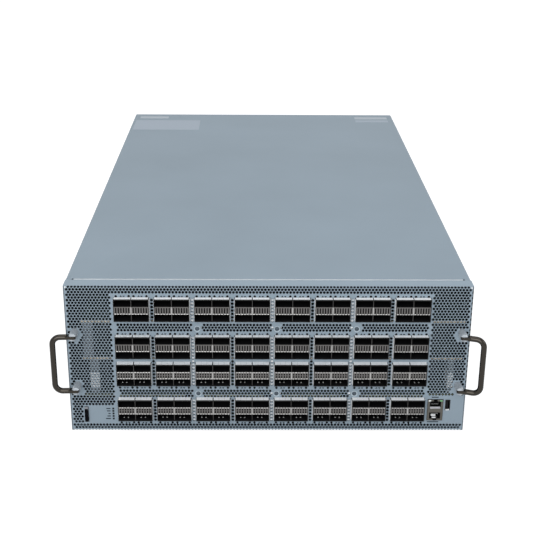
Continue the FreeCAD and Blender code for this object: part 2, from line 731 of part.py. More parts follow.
def fan_carrier(x):
    """Sheet-metal carrier with a barred rear face and a strap handle."""
    width, z = centred(x, FAN_WIDTH), (FAN_BOTTOM, FAN_BOTTOM + FAN_HEIGHT)
    box = block(width, (REAR - FAN_DEPTH, REAR), z)
    hollow_y = (REAR - FAN_DEPTH - OVERCUT, REAR - FAN_FACE)
    face_y = (REAR - FAN_FACE, REAR)
    window_z = centred(FAN_MIDDLE_Z, FAN_WINDOW)
    hollow = block(grown(width, -SHEET), hollow_y, grown(z, -SHEET))
    box = box.cut([hollow, block(centred(x, FAN_WINDOW), grown(face_y, OVERCUT), window_z)])
    bars = [block(centred(x, FAN_WINDOW), face_y, centred(FAN_MIDDLE_Z, GRILLE_BAR))]
    for index in range(GRILLE_BARS):
        shift = (index - (GRILLE_BARS - 1) / 2) * GRILLE_PITCH
        bars.append(block(centred(x + shift, GRILLE_BAR), face_y, window_z))
    return box.fuse(bars + [fan_strap(x)]).removeSplitter()


def fan_frame(x):
    """Square fan frame with a round duct, motor base, struts and fixed shaft."""
    y = (REAR - FAN_FACE - FAN_FRAME_DEPTH, REAR - FAN_FACE)
    square = block(centred(x, FAN_FRAME), y, centred(FAN_MIDDLE_Z, FAN_FRAME))
    middle = Vec(x, y[0], FAN_MIDDLE_Z)
    bore = sided_bar(FAN_DUCT_SIDES, 2 * FAN_DUCT_R, middle, Y_AXIS, FAN_FRAME_DEPTH)
    duct = square.cut(bore)
    strut_y = (y[0], y[0] + STRUT_DEPTH)
    across = block(centred(x, STRUT_LENGTH), strut_y, centred(FAN_MIDDLE_Z, STRUT))
    upright = block(centred(x, STRUT), strut_y, centred(FAN_MIDDLE_Z, STRUT_LENGTH))
    base = sided_bar(HUB_SIDES, MOTOR_ACROSS, middle, Y_AXIS, MOTOR_DEPTH)
    root = middle + Y_AXIS * MOTOR_DEPTH
    shaft = sided_bar(SHAFT_SIDES, SHAFT_ACROSS, root, Y_AXIS, ROTOR_GAP + HUB_DEPTH)
    return duct.fuse([across, upright, base, shaft]).removeSplitter()


def fan_rotor(x):
    """Hub with pitched blades, bored for the shaft."""
    chord = centred(0, BLADE_CHORD)
    blade = block(chord, centred(0, BLADE_THICK), (HUB_R - BLADE_ROOT, BLADE_TIP_R))
    blade.rotate(Vec(0, 0, 0), Z_AXIS, BLADE_PITCH)
    parts = []
    for index in range(BLADE_COUNT):
        copy = blade.copy()
        copy.rotate(Vec(0, 0, 0), Y_AXIS, index * 360 / BLADE_COUNT)
        parts.append(copy)
    near_end = Vec(0, -HUB_DEPTH / 2, 0)
    hub = sided_bar(HUB_SIDES, 2 * HUB_R, near_end, Y_AXIS, HUB_DEPTH)
    bore = rod(HUB_BORE_R, near_end, Y_AXIS, HUB_DEPTH)
    rotor = hub.fuse(parts).removeSplitter().cut(bore)
    near = REAR - FAN_FACE - FAN_FRAME_DEPTH + MOTOR_DEPTH + ROTOR_GAP
    rotor.translate(Vec(x, near + HUB_DEPTH / 2, FAN_MIDDLE_Z))
    return rotor


def supply_limits(x):
    """Limits of a power supply's whole case."""
    y = (REAR + SUPPLY_PROUD - SUPPLY_DEPTH, REAR + SUPPLY_PROUD)
    return centred(x, SUPPLY_WIDTH), y, (SUPPLY_BOTTOM, SUPPLY_BOTTOM + SUPPLY_HEIGHT)


def supply_case(x):
    """Metal case, stepped back at one side for the moulded face, with louvres at the other."""
    width, y, z = supply_limits(x)
    case = block(width, y, z)
    case = case.cut(block((width[0], width[0] + FACE_WIDTH), (y[1] - FACE_DEPTH, y[1]), z))
    middle = width[0] + FACE_WIDTH + LOUVRE_WIDTH / 2 + LOUVRE_MARGIN
    louvres = [latch_pocket(x)]
    for index in range(LOUVRE_COUNT):
        height = sum(z) / 2 + (index - (LOUVRE_COUNT - 1) / 2) * LOUVRE_PITCH
        louvre_y = (y[1] - LOUVRE_DEPTH, y[1] + OVERCUT)
        louvres.append(block(centred(middle, LOUVRE_WIDTH), louvre_y, centred(height, LOUVRE_HEIGHT)))
    return case.cut(louvres)


def supply_face(x):
    """Moulded face with the power inlet, its blades and a pull grip."""
    width, y, z = supply_limits(x)
    face_x = (width[0], width[0] + FACE_WIDTH)
    face = block(face_x, (y[1] - FACE_DEPTH, y[1]), z)
    inlet_middle = sum(face_x) / 2 + INLET_SHIFT
    inlet_z = (z[0] + INLET_Z, z[0] + INLET_Z + INLET_HEIGHT)
    inlet_y = (y[1] - INLET_DEPTH, y[1] + OVERCUT)
    face = face.cut(block(centred(inlet_middle, INLET_WIDTH), inlet_y, inlet_z))
    pins = []
    for shift, lift in BLADE_PIN_SPOTS:
        pin_y = (inlet_y[0] - OVERCUT, inlet_y[0] + BLADE_PIN_LENGTH)
        pin_x = centred(inlet_middle + shift, BLADE_PIN[0])
        pins.append(block(pin_x, pin_y, centred(sum(inlet_z) / 2 + lift, BLADE_PIN[1])))
    grip_x = (face_x[1] - GRIP_BAR, face_x[1])
    grip_z = grown(z, -GRIP_MARGIN)
    grip = block(grip_x, (y[1], y[1] + GRIP_OUT), grip_z)
    gap_z = grown(grip_z, -GRIP_BAR)
    grip = grip.cut(block(grip_x, (y[1], y[1] + GRIP_OUT - GRIP_BAR), gap_z))
    return face.fuse(pins + [grip]).removeSplitter()


def latch_limits(x):
    """Limits of a release latch, with its foot in the case."""
    width, y, z = supply_limits(x)
    latch_x = (width[1] - LATCH_INSET - LATCH_THICK, width[1] - LATCH_INSET)
    return latch_x, (y[1] - LATCH_FOOT, y[1] + LATCH_REACH), centred(sum(z) / 2, LATCH_HEIGHT)


def latch_pocket(x):
    """Pocket in the case that the latch's foot slides in."""
    latch_x, latch_y, latch_z = latch_limits(x)
    pocket_x = (latch_x[0] - LATCH_TRAVEL - LATCH_GAP, latch_x[1] + LATCH_GAP)
    pocket_y = (latch_y[0] - LATCH_GAP, latch_y[0] + 2 * LATCH_FOOT)
    return block(pocket_x, pocket_y, grown(latch_z, LATCH_GAP))


def supply_latch(x):
    """Release latch: a thumb plate that slides sideways in the case."""
    limits = latch_limits(x)
    latch = block(*limits)
    tip = edges_at(latch, lambda p: abs(p.y - limits[1][1]) < TOUCH)
    return latch.makeFillet(LATCH_TIP_R, [e for e in tip if e.BoundBox.XLength > LATCH_GAP])


def all_nodes():
    """Every sub-part by its name."""
    nodes = {
        "base_tray": base_tray(),
        "front_bezel": front_bezel(),
        "top_cover": top_cover(),
        "rear_frame": rear_frame(),
        "bay_shelf": bay_shelf(),
        "fan_partitions": fan_partitions(),
        "supply_guides": supply_guides(),
        "board_spacers": board_spacers(),
        "side_brackets": side_brackets(),
        "cage_inserts": cage_inserts(),
        "port_receptacles": port_receptacles(),
        "handle_posts": handle_posts(),
        "handle_pins": handle_pins(),
        "left_bail": bail(-1, BAIL_ANGLE_LEFT),
        "right_bail": bail(1, BAIL_ANGLE_RIGHT),
        "info_tag": info_tag(),
        "tag_sleeve": tag_sleeve(),
        "status_lamps": status_lamps(),
        "network_jack": network_jack(),
        "jack_contacts": jack_contacts(),
        "service_port": service_port(),
        "service_board": service_board(),
        "switch_chip": switch_chip(),
        "heat_sink": heat_sink(),
        "fan_board": fan_board(),
        "power_board": power_board(),
    }
    board_depths = (LINE_BOARD_DEPTH, MAIN_BOARD_DEPTH, LINE_BOARD_DEPTH)
    for name, top, depth in zip(("upper", "main", "lower"), BOARD_TOPS, board_depths):
        nodes[f"{name}_board"] = board(top, depth)
    for index, x in enumerate(POST_X, 1):
        nodes[f"panel_post_{index}"] = panel_post(x)
    for row in range(len(CAGE_BOTTOMS)):
        nodes[f"port_cages_row_{row + 1}"] = cage_row(row)
    for index, x in enumerate(FAN_X, 1):
        nodes[f"fan_{index}_carrier"] = fan_carrier(x)
        nodes[f"fan_{index}_frame"] = fan_frame(x)
        nodes[f"fan_{index}_rotor"] = fan_rotor(x)
    for index, x in enumerate(SUPPLY_X, 1):
        nodes[f"supply_{index}_case"] = supply_case(x)
        nodes[f"supply_{index}_face"] = supply_face(x)
        nodes[f"supply_{index}_latch"] = supply_latch(x)
    return nodes


def main():
    """Writes one file for every sub-part."""
    os.makedirs("parts", exist_ok=True)
    for name, shape in all_nodes().items():
        shape.exportStep(f"parts/{name}.step")


if __name__ == "__main__":
    main()
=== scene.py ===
import logging
import math
from collections.abc import Callable, Iterator, Sequence
from contextlib import contextmanager
from dataclasses import dataclass, field
from enum import Enum
from functools import cache

import bmesh
import bpy
from mathutils import Matrix, Vector
from mathutils.geometry import delaunay_2d_cdt


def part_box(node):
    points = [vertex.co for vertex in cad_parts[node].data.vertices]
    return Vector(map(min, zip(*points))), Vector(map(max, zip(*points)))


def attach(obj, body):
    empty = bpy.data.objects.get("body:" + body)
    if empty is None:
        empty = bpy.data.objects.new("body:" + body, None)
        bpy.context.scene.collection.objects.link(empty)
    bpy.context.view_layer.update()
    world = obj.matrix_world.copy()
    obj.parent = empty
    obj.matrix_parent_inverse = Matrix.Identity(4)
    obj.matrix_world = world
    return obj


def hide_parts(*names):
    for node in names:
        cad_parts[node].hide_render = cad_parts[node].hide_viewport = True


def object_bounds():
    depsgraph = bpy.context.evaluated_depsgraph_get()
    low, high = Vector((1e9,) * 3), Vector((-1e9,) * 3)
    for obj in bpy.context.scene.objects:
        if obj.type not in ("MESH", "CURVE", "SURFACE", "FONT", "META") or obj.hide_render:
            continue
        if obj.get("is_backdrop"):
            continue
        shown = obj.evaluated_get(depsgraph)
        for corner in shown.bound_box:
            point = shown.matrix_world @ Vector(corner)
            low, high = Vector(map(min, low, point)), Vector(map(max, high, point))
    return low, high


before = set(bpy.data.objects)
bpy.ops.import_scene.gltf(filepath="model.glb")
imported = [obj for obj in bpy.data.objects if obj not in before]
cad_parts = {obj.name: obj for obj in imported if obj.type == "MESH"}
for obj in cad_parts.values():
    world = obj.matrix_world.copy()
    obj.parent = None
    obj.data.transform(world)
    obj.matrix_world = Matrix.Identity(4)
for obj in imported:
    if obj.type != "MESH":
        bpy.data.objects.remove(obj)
CAD_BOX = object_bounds()

LOG = logging.getLogger("ethernet_switch")

Obj = bpy.types.Object
Material = bpy.types.Material
Limits = tuple[float, float]
Point = tuple[float, float]
Triple = tuple[float, float, float]
Colour = Triple
Plate = tuple[Limits, float, Limits]
Test = Callable[[Vector, Vector], bool]

# Lengths are in millimetres from the middle of the base, and MM turns them into metres.
MM = 0.001
FRONT = -388.0
REAR = 388.0
HALF_WIDTH = 220.0
HEIGHT = 174.5
SHEET = 1.2
COVER_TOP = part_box("top_cover")[1].z / MM
BANK_PITCH = 43.2
BANKS = tuple(-147.2 + BANK_PITCH * bank for bank in range(8))
PORT_COLUMNS = (-9.5, 9.5)
CAGE_WIDTH = 38.0
CAGE_HEIGHT = 25.6
CAGE_FACE = FRONT - 7.0
CAGE_BOTTOMS = (136.4, 92.05, 59.0, 15.3)
STATUS_HEIGHTS = (27.5, 24.5, 21.3, 18.1, 14.9)
JACK_X = (178.1, 195.3)
POST_X = 209.8
POST_HEIGHTS = (57.7, 122.1)
CHASSIS = "chassis"
SIDES = (-1, 1)
TOUCH = 0.01
ALIGNED = 0.9
SOFT_EDGE = 0.3
SOFT_STEPS = 2
ROUND_STEPS = 3
ROUND_SIDES = 20
FAN_X = (-144.0, 0.0, 144.0)
SUPPLY_X = (-159.0, -53.0, 53.0, 159.0)


class Element(Enum):
    """What an edit-mode selection is made of."""

    FACE = "FACE"
    EDGE = "EDGE"


class Axis(Enum):
    """A main axis, as a unit vector."""

    X = (1.0, 0.0, 0.0)
    Y = (0.0, 1.0, 0.0)
    Z = (0.0, 0.0, 1.0)


class Carving(Enum):
    """What a tool does to the piece that it meets."""

    CUT = "DIFFERENCE"
    ADD = "UNION"


class Facing(Enum):
    """Which end of the switch a screw is on, as its way along Y."""

    FRONT = -1
    REAR = 1


TURNS = {Axis.X: (0, math.pi / 2, 0), Axis.Y: (math.pi / 2, 0, 0), Axis.Z: (0, 0, 0)}


# Modelling


def metres(values: Sequence[float]) -> list[float]:
    """Millimetres as metres."""
    return [value * MM for value in values]


def centred(middle: float, size: float) -> Limits:
    """Limits of a length about its middle."""
    return middle - size / 2, middle + size / 2


def grown(limits: Limits, gap: float) -> Limits:
    """Limits with a gap outside both."""
    return limits[0] - gap, limits[1] + gap


def only(obj: Obj) -> None:
    """Make one object the only selected and active one.

    Args:
        obj: The object.
    """
    bpy.ops.object.select_all(action="DESELECT")
    obj.select_set(True)
    bpy.context.view_layer.objects.active = obj


@contextmanager
def editing(obj: Obj) -> Iterator[None]:
    """Keep one object in edit mode, with nothing selected at first.

    Args:
        obj: The object.

    Yields:
        Nothing, while the object is edited.
    """
    only(obj)
    bpy.ops.object.mode_set(mode="EDIT")
    bpy.ops.mesh.select_all(action="DESELECT")
    yield
    bpy.ops.object.mode_set(mode="OBJECT")


def pick(obj: Obj, kind: Element, test: Test) -> None:
    """Select faces or edges of an object in edit mode.

    Args:
        obj: The object being edited.
        kind: Faces or edges.
        test: Takes an element's middle in millimetres, and its normal or direction.
    """
    bpy.ops.mesh.select_mode(type=kind.value)
    bpy.ops.mesh.select_all(action="DESELECT")
    mesh = bmesh.from_edit_mesh(obj.data)
    for item in mesh.faces if kind is Element.FACE else mesh.edges:
        if kind is Element.FACE:
            middle, way = item.calc_center_median(), item.normal
        else:
            ends = [vert.co for vert in item.verts]
            middle, way = (ends[0] + ends[1]) / 2, (ends[1] - ends[0]).normalized()
        item.select_set(test(middle / MM, way))
    bmesh.update_edit_mesh(obj.data)


def pick_all() -> None:
    """Select the whole mesh that is being edited."""
    bpy.ops.mesh.select_all(action="SELECT")


def outwards() -> None:
    """Turn all faces of the mesh that is being edited outwards."""
    pick_all()
    bpy.ops.mesh.normals_make_consistent(inside=False)


def draw_out(shift: Sequence[float]) -> None:
    """Extrude what is selected by millimetres."""
    bpy.ops.mesh.extrude_region_move(TRANSFORM_OT_translate={"value": metres(shift)})


def added(primitive: Callable[..., object], scale: Sequence[float] = (1, 1, 1), **settings: object) -> Obj:
    """Add a primitive on its own.

    Args:
        primitive: The operator that adds it.
        scale: Its scale along the axes.
        settings: The operator's settings.

    Returns:
        The new object, with its place and scale in its mesh.
    """
    bpy.ops.object.select_all(action="DESELECT")
    primitive(**settings)
    obj = bpy.context.object
    obj.scale = scale
    only(obj)
    bpy.ops.object.transform_apply(location=True, rotation=True, scale=True)
    return obj


def block(x: Sequence[float], y: Sequence[float], z: Sequence[float]) -> Obj:
    """A box, as the start of a piece.

    Args:
        x: Its limits across.
        y: Its limits along the depth.
        z: Its limits up.

    Returns:
        The box.
    """
    middle = [sum(pair) / 2 * MM for pair in (x, y, z)]
    scale = [abs(pair[1] - pair[0]) * MM for pair in (x, y, z)]
    return added(bpy.ops.mesh.primitive_cube_add, scale, size=1, location=middle)


def drum(radius: float, middle: Sequence[float], axis: Axis, depth: float, sides: int) -> Obj:
    """A round bar, as the start of a piece.

    Args:
        radius: Its radius.
        middle: The middle of the bar.
        axis: The way it points.
        depth: Its length.
        sides: How many flats it has round it.

    Returns:
        The bar.
    """
    return added(
        bpy.ops.mesh.primitive_cylinder_add,
        vertices=sides,
        radius=radius * MM,
        depth=depth * MM,
        location=metres(middle),
        rotation=TURNS[axis],
    )


def edges(along: Axis | None = None, before: float = math.inf, behind: float = -math.inf) -> Test:
    """A test for edges by their direction and depth.

    Args:
        along: The axis that they run along, or none for any.
        before: They are nearer the front than this.
        behind: They are nearer the rear than this.

    Returns:
        The test.
    """

    def test(spot: Vector, way: Vector) -> bool:
        """Whether an edge is one of them."""
        is_aligned = along is None or abs(way.dot(Vector(along.value))) > ALIGNED
        return is_aligned and behind < spot.y < before

    return test


def bevel(obj: Obj, test: Test, width: float = SOFT_EDGE, steps: int = SOFT_STEPS) -> Obj:
    """Round the edges that pass a test.

    Args:
        obj: The piece.
        test: The test, as for pick.
        width: How wide the rounding is.
        steps: How many flats it has.

    Returns:
        The piece.
    """
    with editing(obj):
        pick(obj, Element.EDGE, test)
        bpy.ops.mesh.bevel(offset=width * MM, segments=steps, profile=0.5, affect="EDGES")
    return obj


def modify(obj: Obj, kind: str, **settings: object) -> None:
    """Add a modifier and apply it.

    Args:
        obj: The piece.
        kind: The modifier's type.
        settings: Its settings.
    """
    only(obj)
    modifier = obj.modifiers.new(kind.lower(), kind)
    for name, value in settings.items():
        setattr(modifier, name, value)
    bpy.ops.object.modifier_apply(modifier=modifier.name)


def repeat(obj: Obj, count: int, step: Sequence[float]) -> Obj:
    """Repeat a mesh in a line.

    Args:
        obj: The piece.
        count: How often it is there in the end.
        step: The step between two.

    Returns:
        The piece.
    """
    offsets = {"use_relative_offset": False, "use_constant_offset": True}
    modify(obj, "ARRAY", count=count, constant_offset_displace=metres(step), **offsets)
    return obj


def along_banks(obj: Obj) -> Obj:
    """Repeat what is at the first bank of a row at all of them."""
    return repeat(obj, len(BANKS), (BANK_PITCH, 0, 0))


def copied(obj: Obj, shift: Sequence[float]) -> Obj:
    """A copy with a mesh of its own.

    Args:
        obj: The piece.
        shift: How far the copy is moved.

    Returns:
        The copy.
    """
    twin = obj.copy()
    twin.data = obj.data.copy()
    bpy.context.collection.objects.link(twin)
    twin.data.transform(Matrix.Translation(metres(shift)))
    return twin


def joined(objs: Sequence[Obj]) -> Obj:
    """Join several objects into the first.

    Args:
        objs: The objects.

    Returns:
        The first.
    """
    only(objs[0])
    for obj in objs:
        obj.select_set(True)
    bpy.ops.object.join()
    return objs[0]


def at_places(first: Obj, places: Sequence[Point]) -> Obj:
    """Copy a piece to several places on a face.

    Args:
        first: The piece at the first place.
        places: All the places, across and up.

    Returns:
        The piece, joined with its copies.
    """
    (x, z), *others = places
    return joined([first] + [copied(first, (u - x, 0, v - z)) for u, v in others])


def carve(obj: Obj, tool: Obj, way: Carving = Carving.CUT) -> None:
    """Cut a tool from a piece, or add it, and remove the tool."""
    modify(obj, "BOOLEAN", object=tool, operation=way.value, solver="EXACT")
    bpy.data.objects.remove(tool)


def round_lamp(spot: Sequence[float], radius: float, proud: float, edge: float, root: float = 0.4) -> Obj:
    """A round lamp in a rear face.

    Args:
        spot: Its middle on the face.
        radius: Its radius.
        proud: How far it stands out.
        edge: How wide its rounding is.
        root: How far it reaches in.

    Returns:
        The lamp.
    """
    x, y, z = spot
    lamp = drum(radius, (x, y + (proud - root) / 2, z), Axis.Y, proud + root, ROUND_SIDES)
    return bevel(lamp, edges(behind=y + proud - TOUCH), edge, ROUND_STEPS)


def mirrored_x(obj: Obj) -> None:
    """Turn a mesh into its mirror image across the middle plane."""
    obj.data.transform(Matrix.Scale(-1, 4, (1, 0, 0)))
    obj.data.flip_normals()


# Finishes


class Sock:
    """A shader socket that Python's operators work on."""

    def __init__(self, net: "Net", socket: bpy.types.NodeSocket) -> None:
        """Keep the socket and the net that it is in."""
        self.net = net
        self.socket = socket

    def maths(self, operation: str, *values: "Sock | float") -> "Sock":
        """A new Math node on these values."""
        return self.net.node("ShaderNodeMath", {"operation": operation}, dict(enumerate(values)))

    def __add__(self, other: "Sock | float") -> "Sock":
        """Sum."""
        return self.maths("ADD", self, other)

    __radd__ = __add__

    def __sub__(self, other: "Sock | float") -> "Sock":
        """Difference."""
        return self.maths("SUBTRACT", self, other)

    def __rsub__(self, other: float) -> "Sock":
        """Difference from a number."""
        return self.maths("SUBTRACT", other, self)

    def __mul__(self, other: "Sock | float") -> "Sock":
        """Product."""
        return self.maths("MULTIPLY", self, other)

    __rmul__ = __mul__

    def __truediv__(self, other: "Sock | float") -> "Sock":
        """Quotient."""
        return self.maths("DIVIDE", self, other)

    def __gt__(self, other: "Sock | float") -> "Sock":
        """1 where this is the larger, otherwise 0."""
        return self.maths("GREATER_THAN", self, other)

    def __lt__(self, other: "Sock | float") -> "Sock":
        """1 where this is the smaller, otherwise 0."""
        return self.maths("LESS_THAN", self, other)

    def __abs__(self) -> "Sock":
        """The value without its sign."""
        return self.maths("ABSOLUTE", self)

    def larger(self, other: "Sock | float") -> "Sock":
        """The larger of the two."""
        return self.maths("MAXIMUM", self, other)

    def smaller(self, other: "Sock | float") -> "Sock":
        """The smaller of the two."""
        return self.maths("MINIMUM", self, other)


class Net:
    """The nodes of one material or of the world."""

    def __init__(self, owner: Material | bpy.types.World) -> None:
        """Start with no nodes.

        Args:
            owner: The material or world.
        """
        self.owner = owner
        owner.use_nodes = True
        self.tree = owner.node_tree
        self.tree.nodes.clear()

    def node(
        self,
        kind: str,
        settings: dict[str, object] | None = None,
        inputs: dict[int | str, object] | None = None,
        output: int | str = 0,
    ) -> Sock | None:
        """Add one node.

        Args:
            kind: The node's type.
            settings: Its properties, and a ramp's stops as pairs of place and colour.
            inputs: Values or sockets for its inputs.
            output: The output that is wanted.

        Returns:
            That output, if the node has any.
        """
        node = self.tree.nodes.new(kind)
        for name, value in (settings or {}).items():
            if name == "stops":
                self._set_stops(node.color_ramp, value)
            else:
                setattr(node, name, value)
        for key, value in (inputs or {}).items():
            self._fill(node.inputs[key], value)
        return Sock(self, node.outputs[output]) if node.outputs else None

    def _set_stops(self, ramp: bpy.types.ColorRamp, stops: Sequence[tuple[float, Colour]]) -> None:
        """Give a ramp its stops.

        Args:
            ramp: The ramp.
            stops: Pairs of place and colour.
        """
        while len(ramp.elements) < len(stops):
            ramp.elements.new(0.5)
        for element, (spot, colour) in zip(ramp.elements, stops):
            element.position = spot
            element.color = (*colour, 1.0)

    def _fill(self, socket: bpy.types.NodeSocket, value: object) -> None:
        """Link or set one input.

        Args:
            socket: The input.
            value: A socket to link, or the value to set.
        """
        if isinstance(value, Sock):
            self.tree.links.new(value.socket, socket)
        elif isinstance(value, tuple) and len(value) == 3 and socket.type == "RGBA":
            socket.default_value = (*value, 1.0)
        else:
            socket.default_value = value

    def end(self, shader: Sock) -> None:
        """Link a shader to the output."""
        kind = "World" if isinstance(self.owner, bpy.types.World) else "Material"
        self.node(f"ShaderNodeOutput{kind}", None, {0: shader})

    def feed(self, **inputs: object) -> Material:
        """End with the main shader.

        Args:
            inputs: Its inputs, with _ for spaces.

        Returns:
            The material.
        """
        named = {name.replace("_", " "): value for name, value in inputs.items()}
        self.end(self.node("ShaderNodeBsdfPrincipled", None, named))
        return self.owner

    def place(self) -> Sock:
        """Object coordinates."""
        return self.node("ShaderNodeTexCoord", output="Object")

    def along(self, axis: Axis) -> Sock:
        """One of the object coordinates."""
        return self.node("ShaderNodeSeparateXYZ", None, {0: self.place()}, axis.name)

    def stretched(self, scale: Triple) -> Sock:
        """Object coordinates stretched along the axes."""
        return self.node("ShaderNodeMapping", None, {"Vector": self.place(), "Scale": scale})

    def noise(self, scale: float, detail: float, vector: Sock | None = None) -> Sock:
        """Noise between 0 and 1."""
        inputs = {"Vector": vector or self.place(), "Scale": scale, "Detail": detail}
        return self.node("ShaderNodeTexNoise", None, inputs)

    def tones(self, value: Sock, colour: Colour, factors: dict[float, float]) -> Sock:
        """Lighter and darker tones of a colour along a value, by factors at places."""
        stops = [(spot, shade(colour, factor)) for spot, factor in factors.items()]
        return self.node("ShaderNodeValToRGB", {"stops": stops}, {0: value})

    def blend(self, mask: Sock, first: "Sock | Colour", second: "Sock | Colour") -> Sock:
        """The first colour where a mask is 0 and the second where it is 1."""
        inputs = {0: mask, 6: first, 7: second}
        return self.node("ShaderNodeMix", {"data_type": "RGBA"}, inputs, 2)

    def bump(self, height: Sock, strength: float, distance: float) -> Sock:
        """A normal from a height."""
        inputs = {"Strength": strength, "Distance": distance, "Height": height}
        return self.node("ShaderNodeBump", None, inputs)


def shade(colour: Colour, factor: float) -> Colour:
    """A colour made lighter or darker."""
    return tuple(min(channel * factor, 1.0) for channel in colour)


@dataclass(frozen=True)
class Zone:
    """A part of space where shade or a highlight is painted into the colour, where aside counts from the
    middle plane.
    """

    colour: Colour
    aside: Limits | None = None
    y: Limits | None = None
    z: Limits | None = None

    def mask(self, net: Net) -> Sock:
        """Where the zone is.

        Args:
            net: The nodes to add to.

        Returns:
            1 within the limits and 0 outside.
        """
        values = (abs(net.along(Axis.X)), net.along(Axis.Y), net.along(Axis.Z))
        tests = []
        for value, limits in zip(values, (self.aside, self.y, self.z)):
            if limits:
                tests += [value > limits[0] * MM, value < limits[1] * MM]
        return math.prod(tests)


@dataclass(frozen=True)
class Finish:
    """What every finish has: a name and a main colour."""

    name: str
    colour: Colour

    def net(self) -> Net:
        """The nodes of a new material, still empty."""
        return Net(bpy.data.materials.new(self.name))


@dataclass(frozen=True)
class Paint(Finish):
    """Satin powder coat with a faint peel, and painted shade or a painted highlight in some zones."""

    roughness: float = 0.42
    zones: tuple[Zone, ...] = ()
    gloss: float = 0.08

    def build(self) -> Material:
        """Mix the zones over the coat.

        Returns:
            The material.
        """
        net = self.net()
        peel = net.noise(1500.0, 2.0)
        colour = net.tones(net.noise(6.0, 3.0), self.colour, {0.3: 0.96, 0.7: 1.04})
        for zone in self.zones:
            colour = net.blend(zone.mask(net), colour, zone.colour)
        return net.feed(
            Base_Color=colour,
            Roughness=peel * 0.12 + (self.roughness - 0.06),
            Normal=net.bump(peel, 0.06, 0.0004),
            Specular_IOR_Level=self.gloss,
        )


@dataclass(frozen=True)
class Patched(Finish):
    """Dull sheet with a bright patch between two heights."""

    patch: Colour
    heights: Limits
    ragged: float = 4.0

    def build(self) -> Material:
        """Put the patch between ragged limits.

        Returns:
            The material.
        """
        net = self.net()
        grain = net.noise(120.0, 3.0)
        height = net.along(Axis.Z) + grain * (self.ragged * MM)
        inside = (height > self.heights[0] * MM) * (height < self.heights[1] * MM)
        return net.feed(
            Base_Color=net.blend(inside, self.colour, self.patch),
            Roughness=grain * 0.2 + 0.35,
        )


@dataclass(frozen=True)
class Metal(Finish):
    """Bare or plated metal with fine lines along one axis."""

    roughness: float = 0.3
    lines: Triple = (12.0, 400.0, 400.0)
    spread: float = 0.1
    metal: float = 1.0

    def build(self) -> Material:
        """Draw the lines in colour, gloss and relief.

        Returns:
            The material.
        """
        net = self.net()
        grain = net.noise(4.0, 4.0, net.stretched(self.lines))
        return net.feed(
            Base_Color=net.tones(grain, self.colour, {0.25: 1.0 - self.spread, 0.75: 1.0 + self.spread}),
            Metallic=self.metal,
            Roughness=grain * 0.16 + (self.roughness - 0.08),
            Normal=net.bump(grain, 0.05, 0.0002),
        )


@dataclass(frozen=True)
class Mouth(Finish):
    """Plated metal at the front edge, with painted shade that darkens it further in."""

    # Painted shade deeper in.
    inside: Colour
    edge: float
    fade: float
    gloss: float = 0.15

    def build(self) -> Material:
        """Fade from the plated edge to the painted shade further in.

        Returns:
            The material.
        """
        net = self.net()
        grain = net.noise(900.0, 3.0)
        depth = (net.along(Axis.Y) - self.edge * MM) / (self.fade * MM)
        mask = depth.larger(0.0).smaller(1.0)
        bright = net.tones(grain, self.colour, {0.3: 0.86, 0.7: 1.08})
        return net.feed(
            Base_Color=net.blend(mask, bright, self.inside),
            Metallic=(1.0 - mask) * 0.9,
            Roughness=mask * 0.4 + grain * 0.1 + 0.28,
            Specular_IOR_Level=self.gloss,
        )


@dataclass(frozen=True)
class Moulded(Finish):
    """Moulded plastic with a fine spark texture."""

    roughness: float = 0.5
    gloss: float = 0.5
    texture: float = 2200.0

    def build(self) -> Material:
        """Cloud the colour and roughen the face.

        Returns:
            The material.
        """
        net = self.net()
        fine = net.noise(self.texture, 2.0)
        return net.feed(
            Base_Color=net.tones(net.noise(30.0, 2.0), self.colour, {0.2: 0.85, 0.8: 1.15}),
            Roughness=fine * 0.15 + (self.roughness - 0.07),
            Normal=net.bump(fine, 0.12, 0.0003),
            Specular_IOR_Level=self.gloss,
        )


@dataclass(frozen=True)
class Laminate(Finish):
    """Circuit board with solder mask, tracks and a tan front edge."""

    colour: Colour = (0.012, 0.032, 0.016)
    core: Colour = (0.42, 0.375, 0.30)
    edge: float = FRONT + 2.2

    def build(self) -> Material:
        """Lay the tracks on the mask and the pads on the front edge.

        Returns:
            The material.
        """
        net = self.net()
        tracks = net.noise(60.0, 1.0, net.stretched((1.0, 0.12, 1.0)))
        lines = net.tones(tracks, self.colour, {0.47: 1.0, 0.5: 1.9, 0.53: 1.0})
        pads = net.noise(420.0, 0.0, net.stretched((1.0, 0.05, 0.3)))
        edge = net.tones(pads, self.core, {0.42: 0.55, 0.5: 1.0, 0.6: 1.3})
        return net.feed(
            Base_Color=net.blend(net.along(Axis.Y) < self.edge * MM, lines, edge),
            Roughness=tracks * 0.2 + 0.35,
            Normal=net.bump(tracks, 0.1, 0.0002),
        )


@dataclass(frozen=True)
class Sticker(Finish):
    """Pale blank label stock with a soft sheen."""

    gloss: float = 0.08

    def build(self) -> Material:
        """Show the fibres faintly.

        Returns:
            The material.
        """
        net = self.net()
        fibre = net.noise(700.0, 4.0)
        return net.feed(
            Base_Color=net.tones(fibre, self.colour, {0.3: 0.93, 0.7: 1.03}),
            Roughness=fibre * 0.15 + 0.3,
            Specular_IOR_Level=self.gloss,
        )


@dataclass(frozen=True)
class Lens(Finish):
    """Clear moulded lens with a milky core."""

    coat: float = 0.5

    def build(self) -> Material:
        """Put a coat over the milky core.

        Returns:
            The material.
        """
        net = self.net()
        milk = net.noise(500.0, 2.0)
        return net.feed(
            Base_Color=net.tones(milk, self.colour, {0.3: 0.8, 0.7: 1.15}),
            Roughness=milk * 0.1 + 0.1,
            Coat_Weight=self.coat,
            Specular_IOR_Level=self.coat,
        )


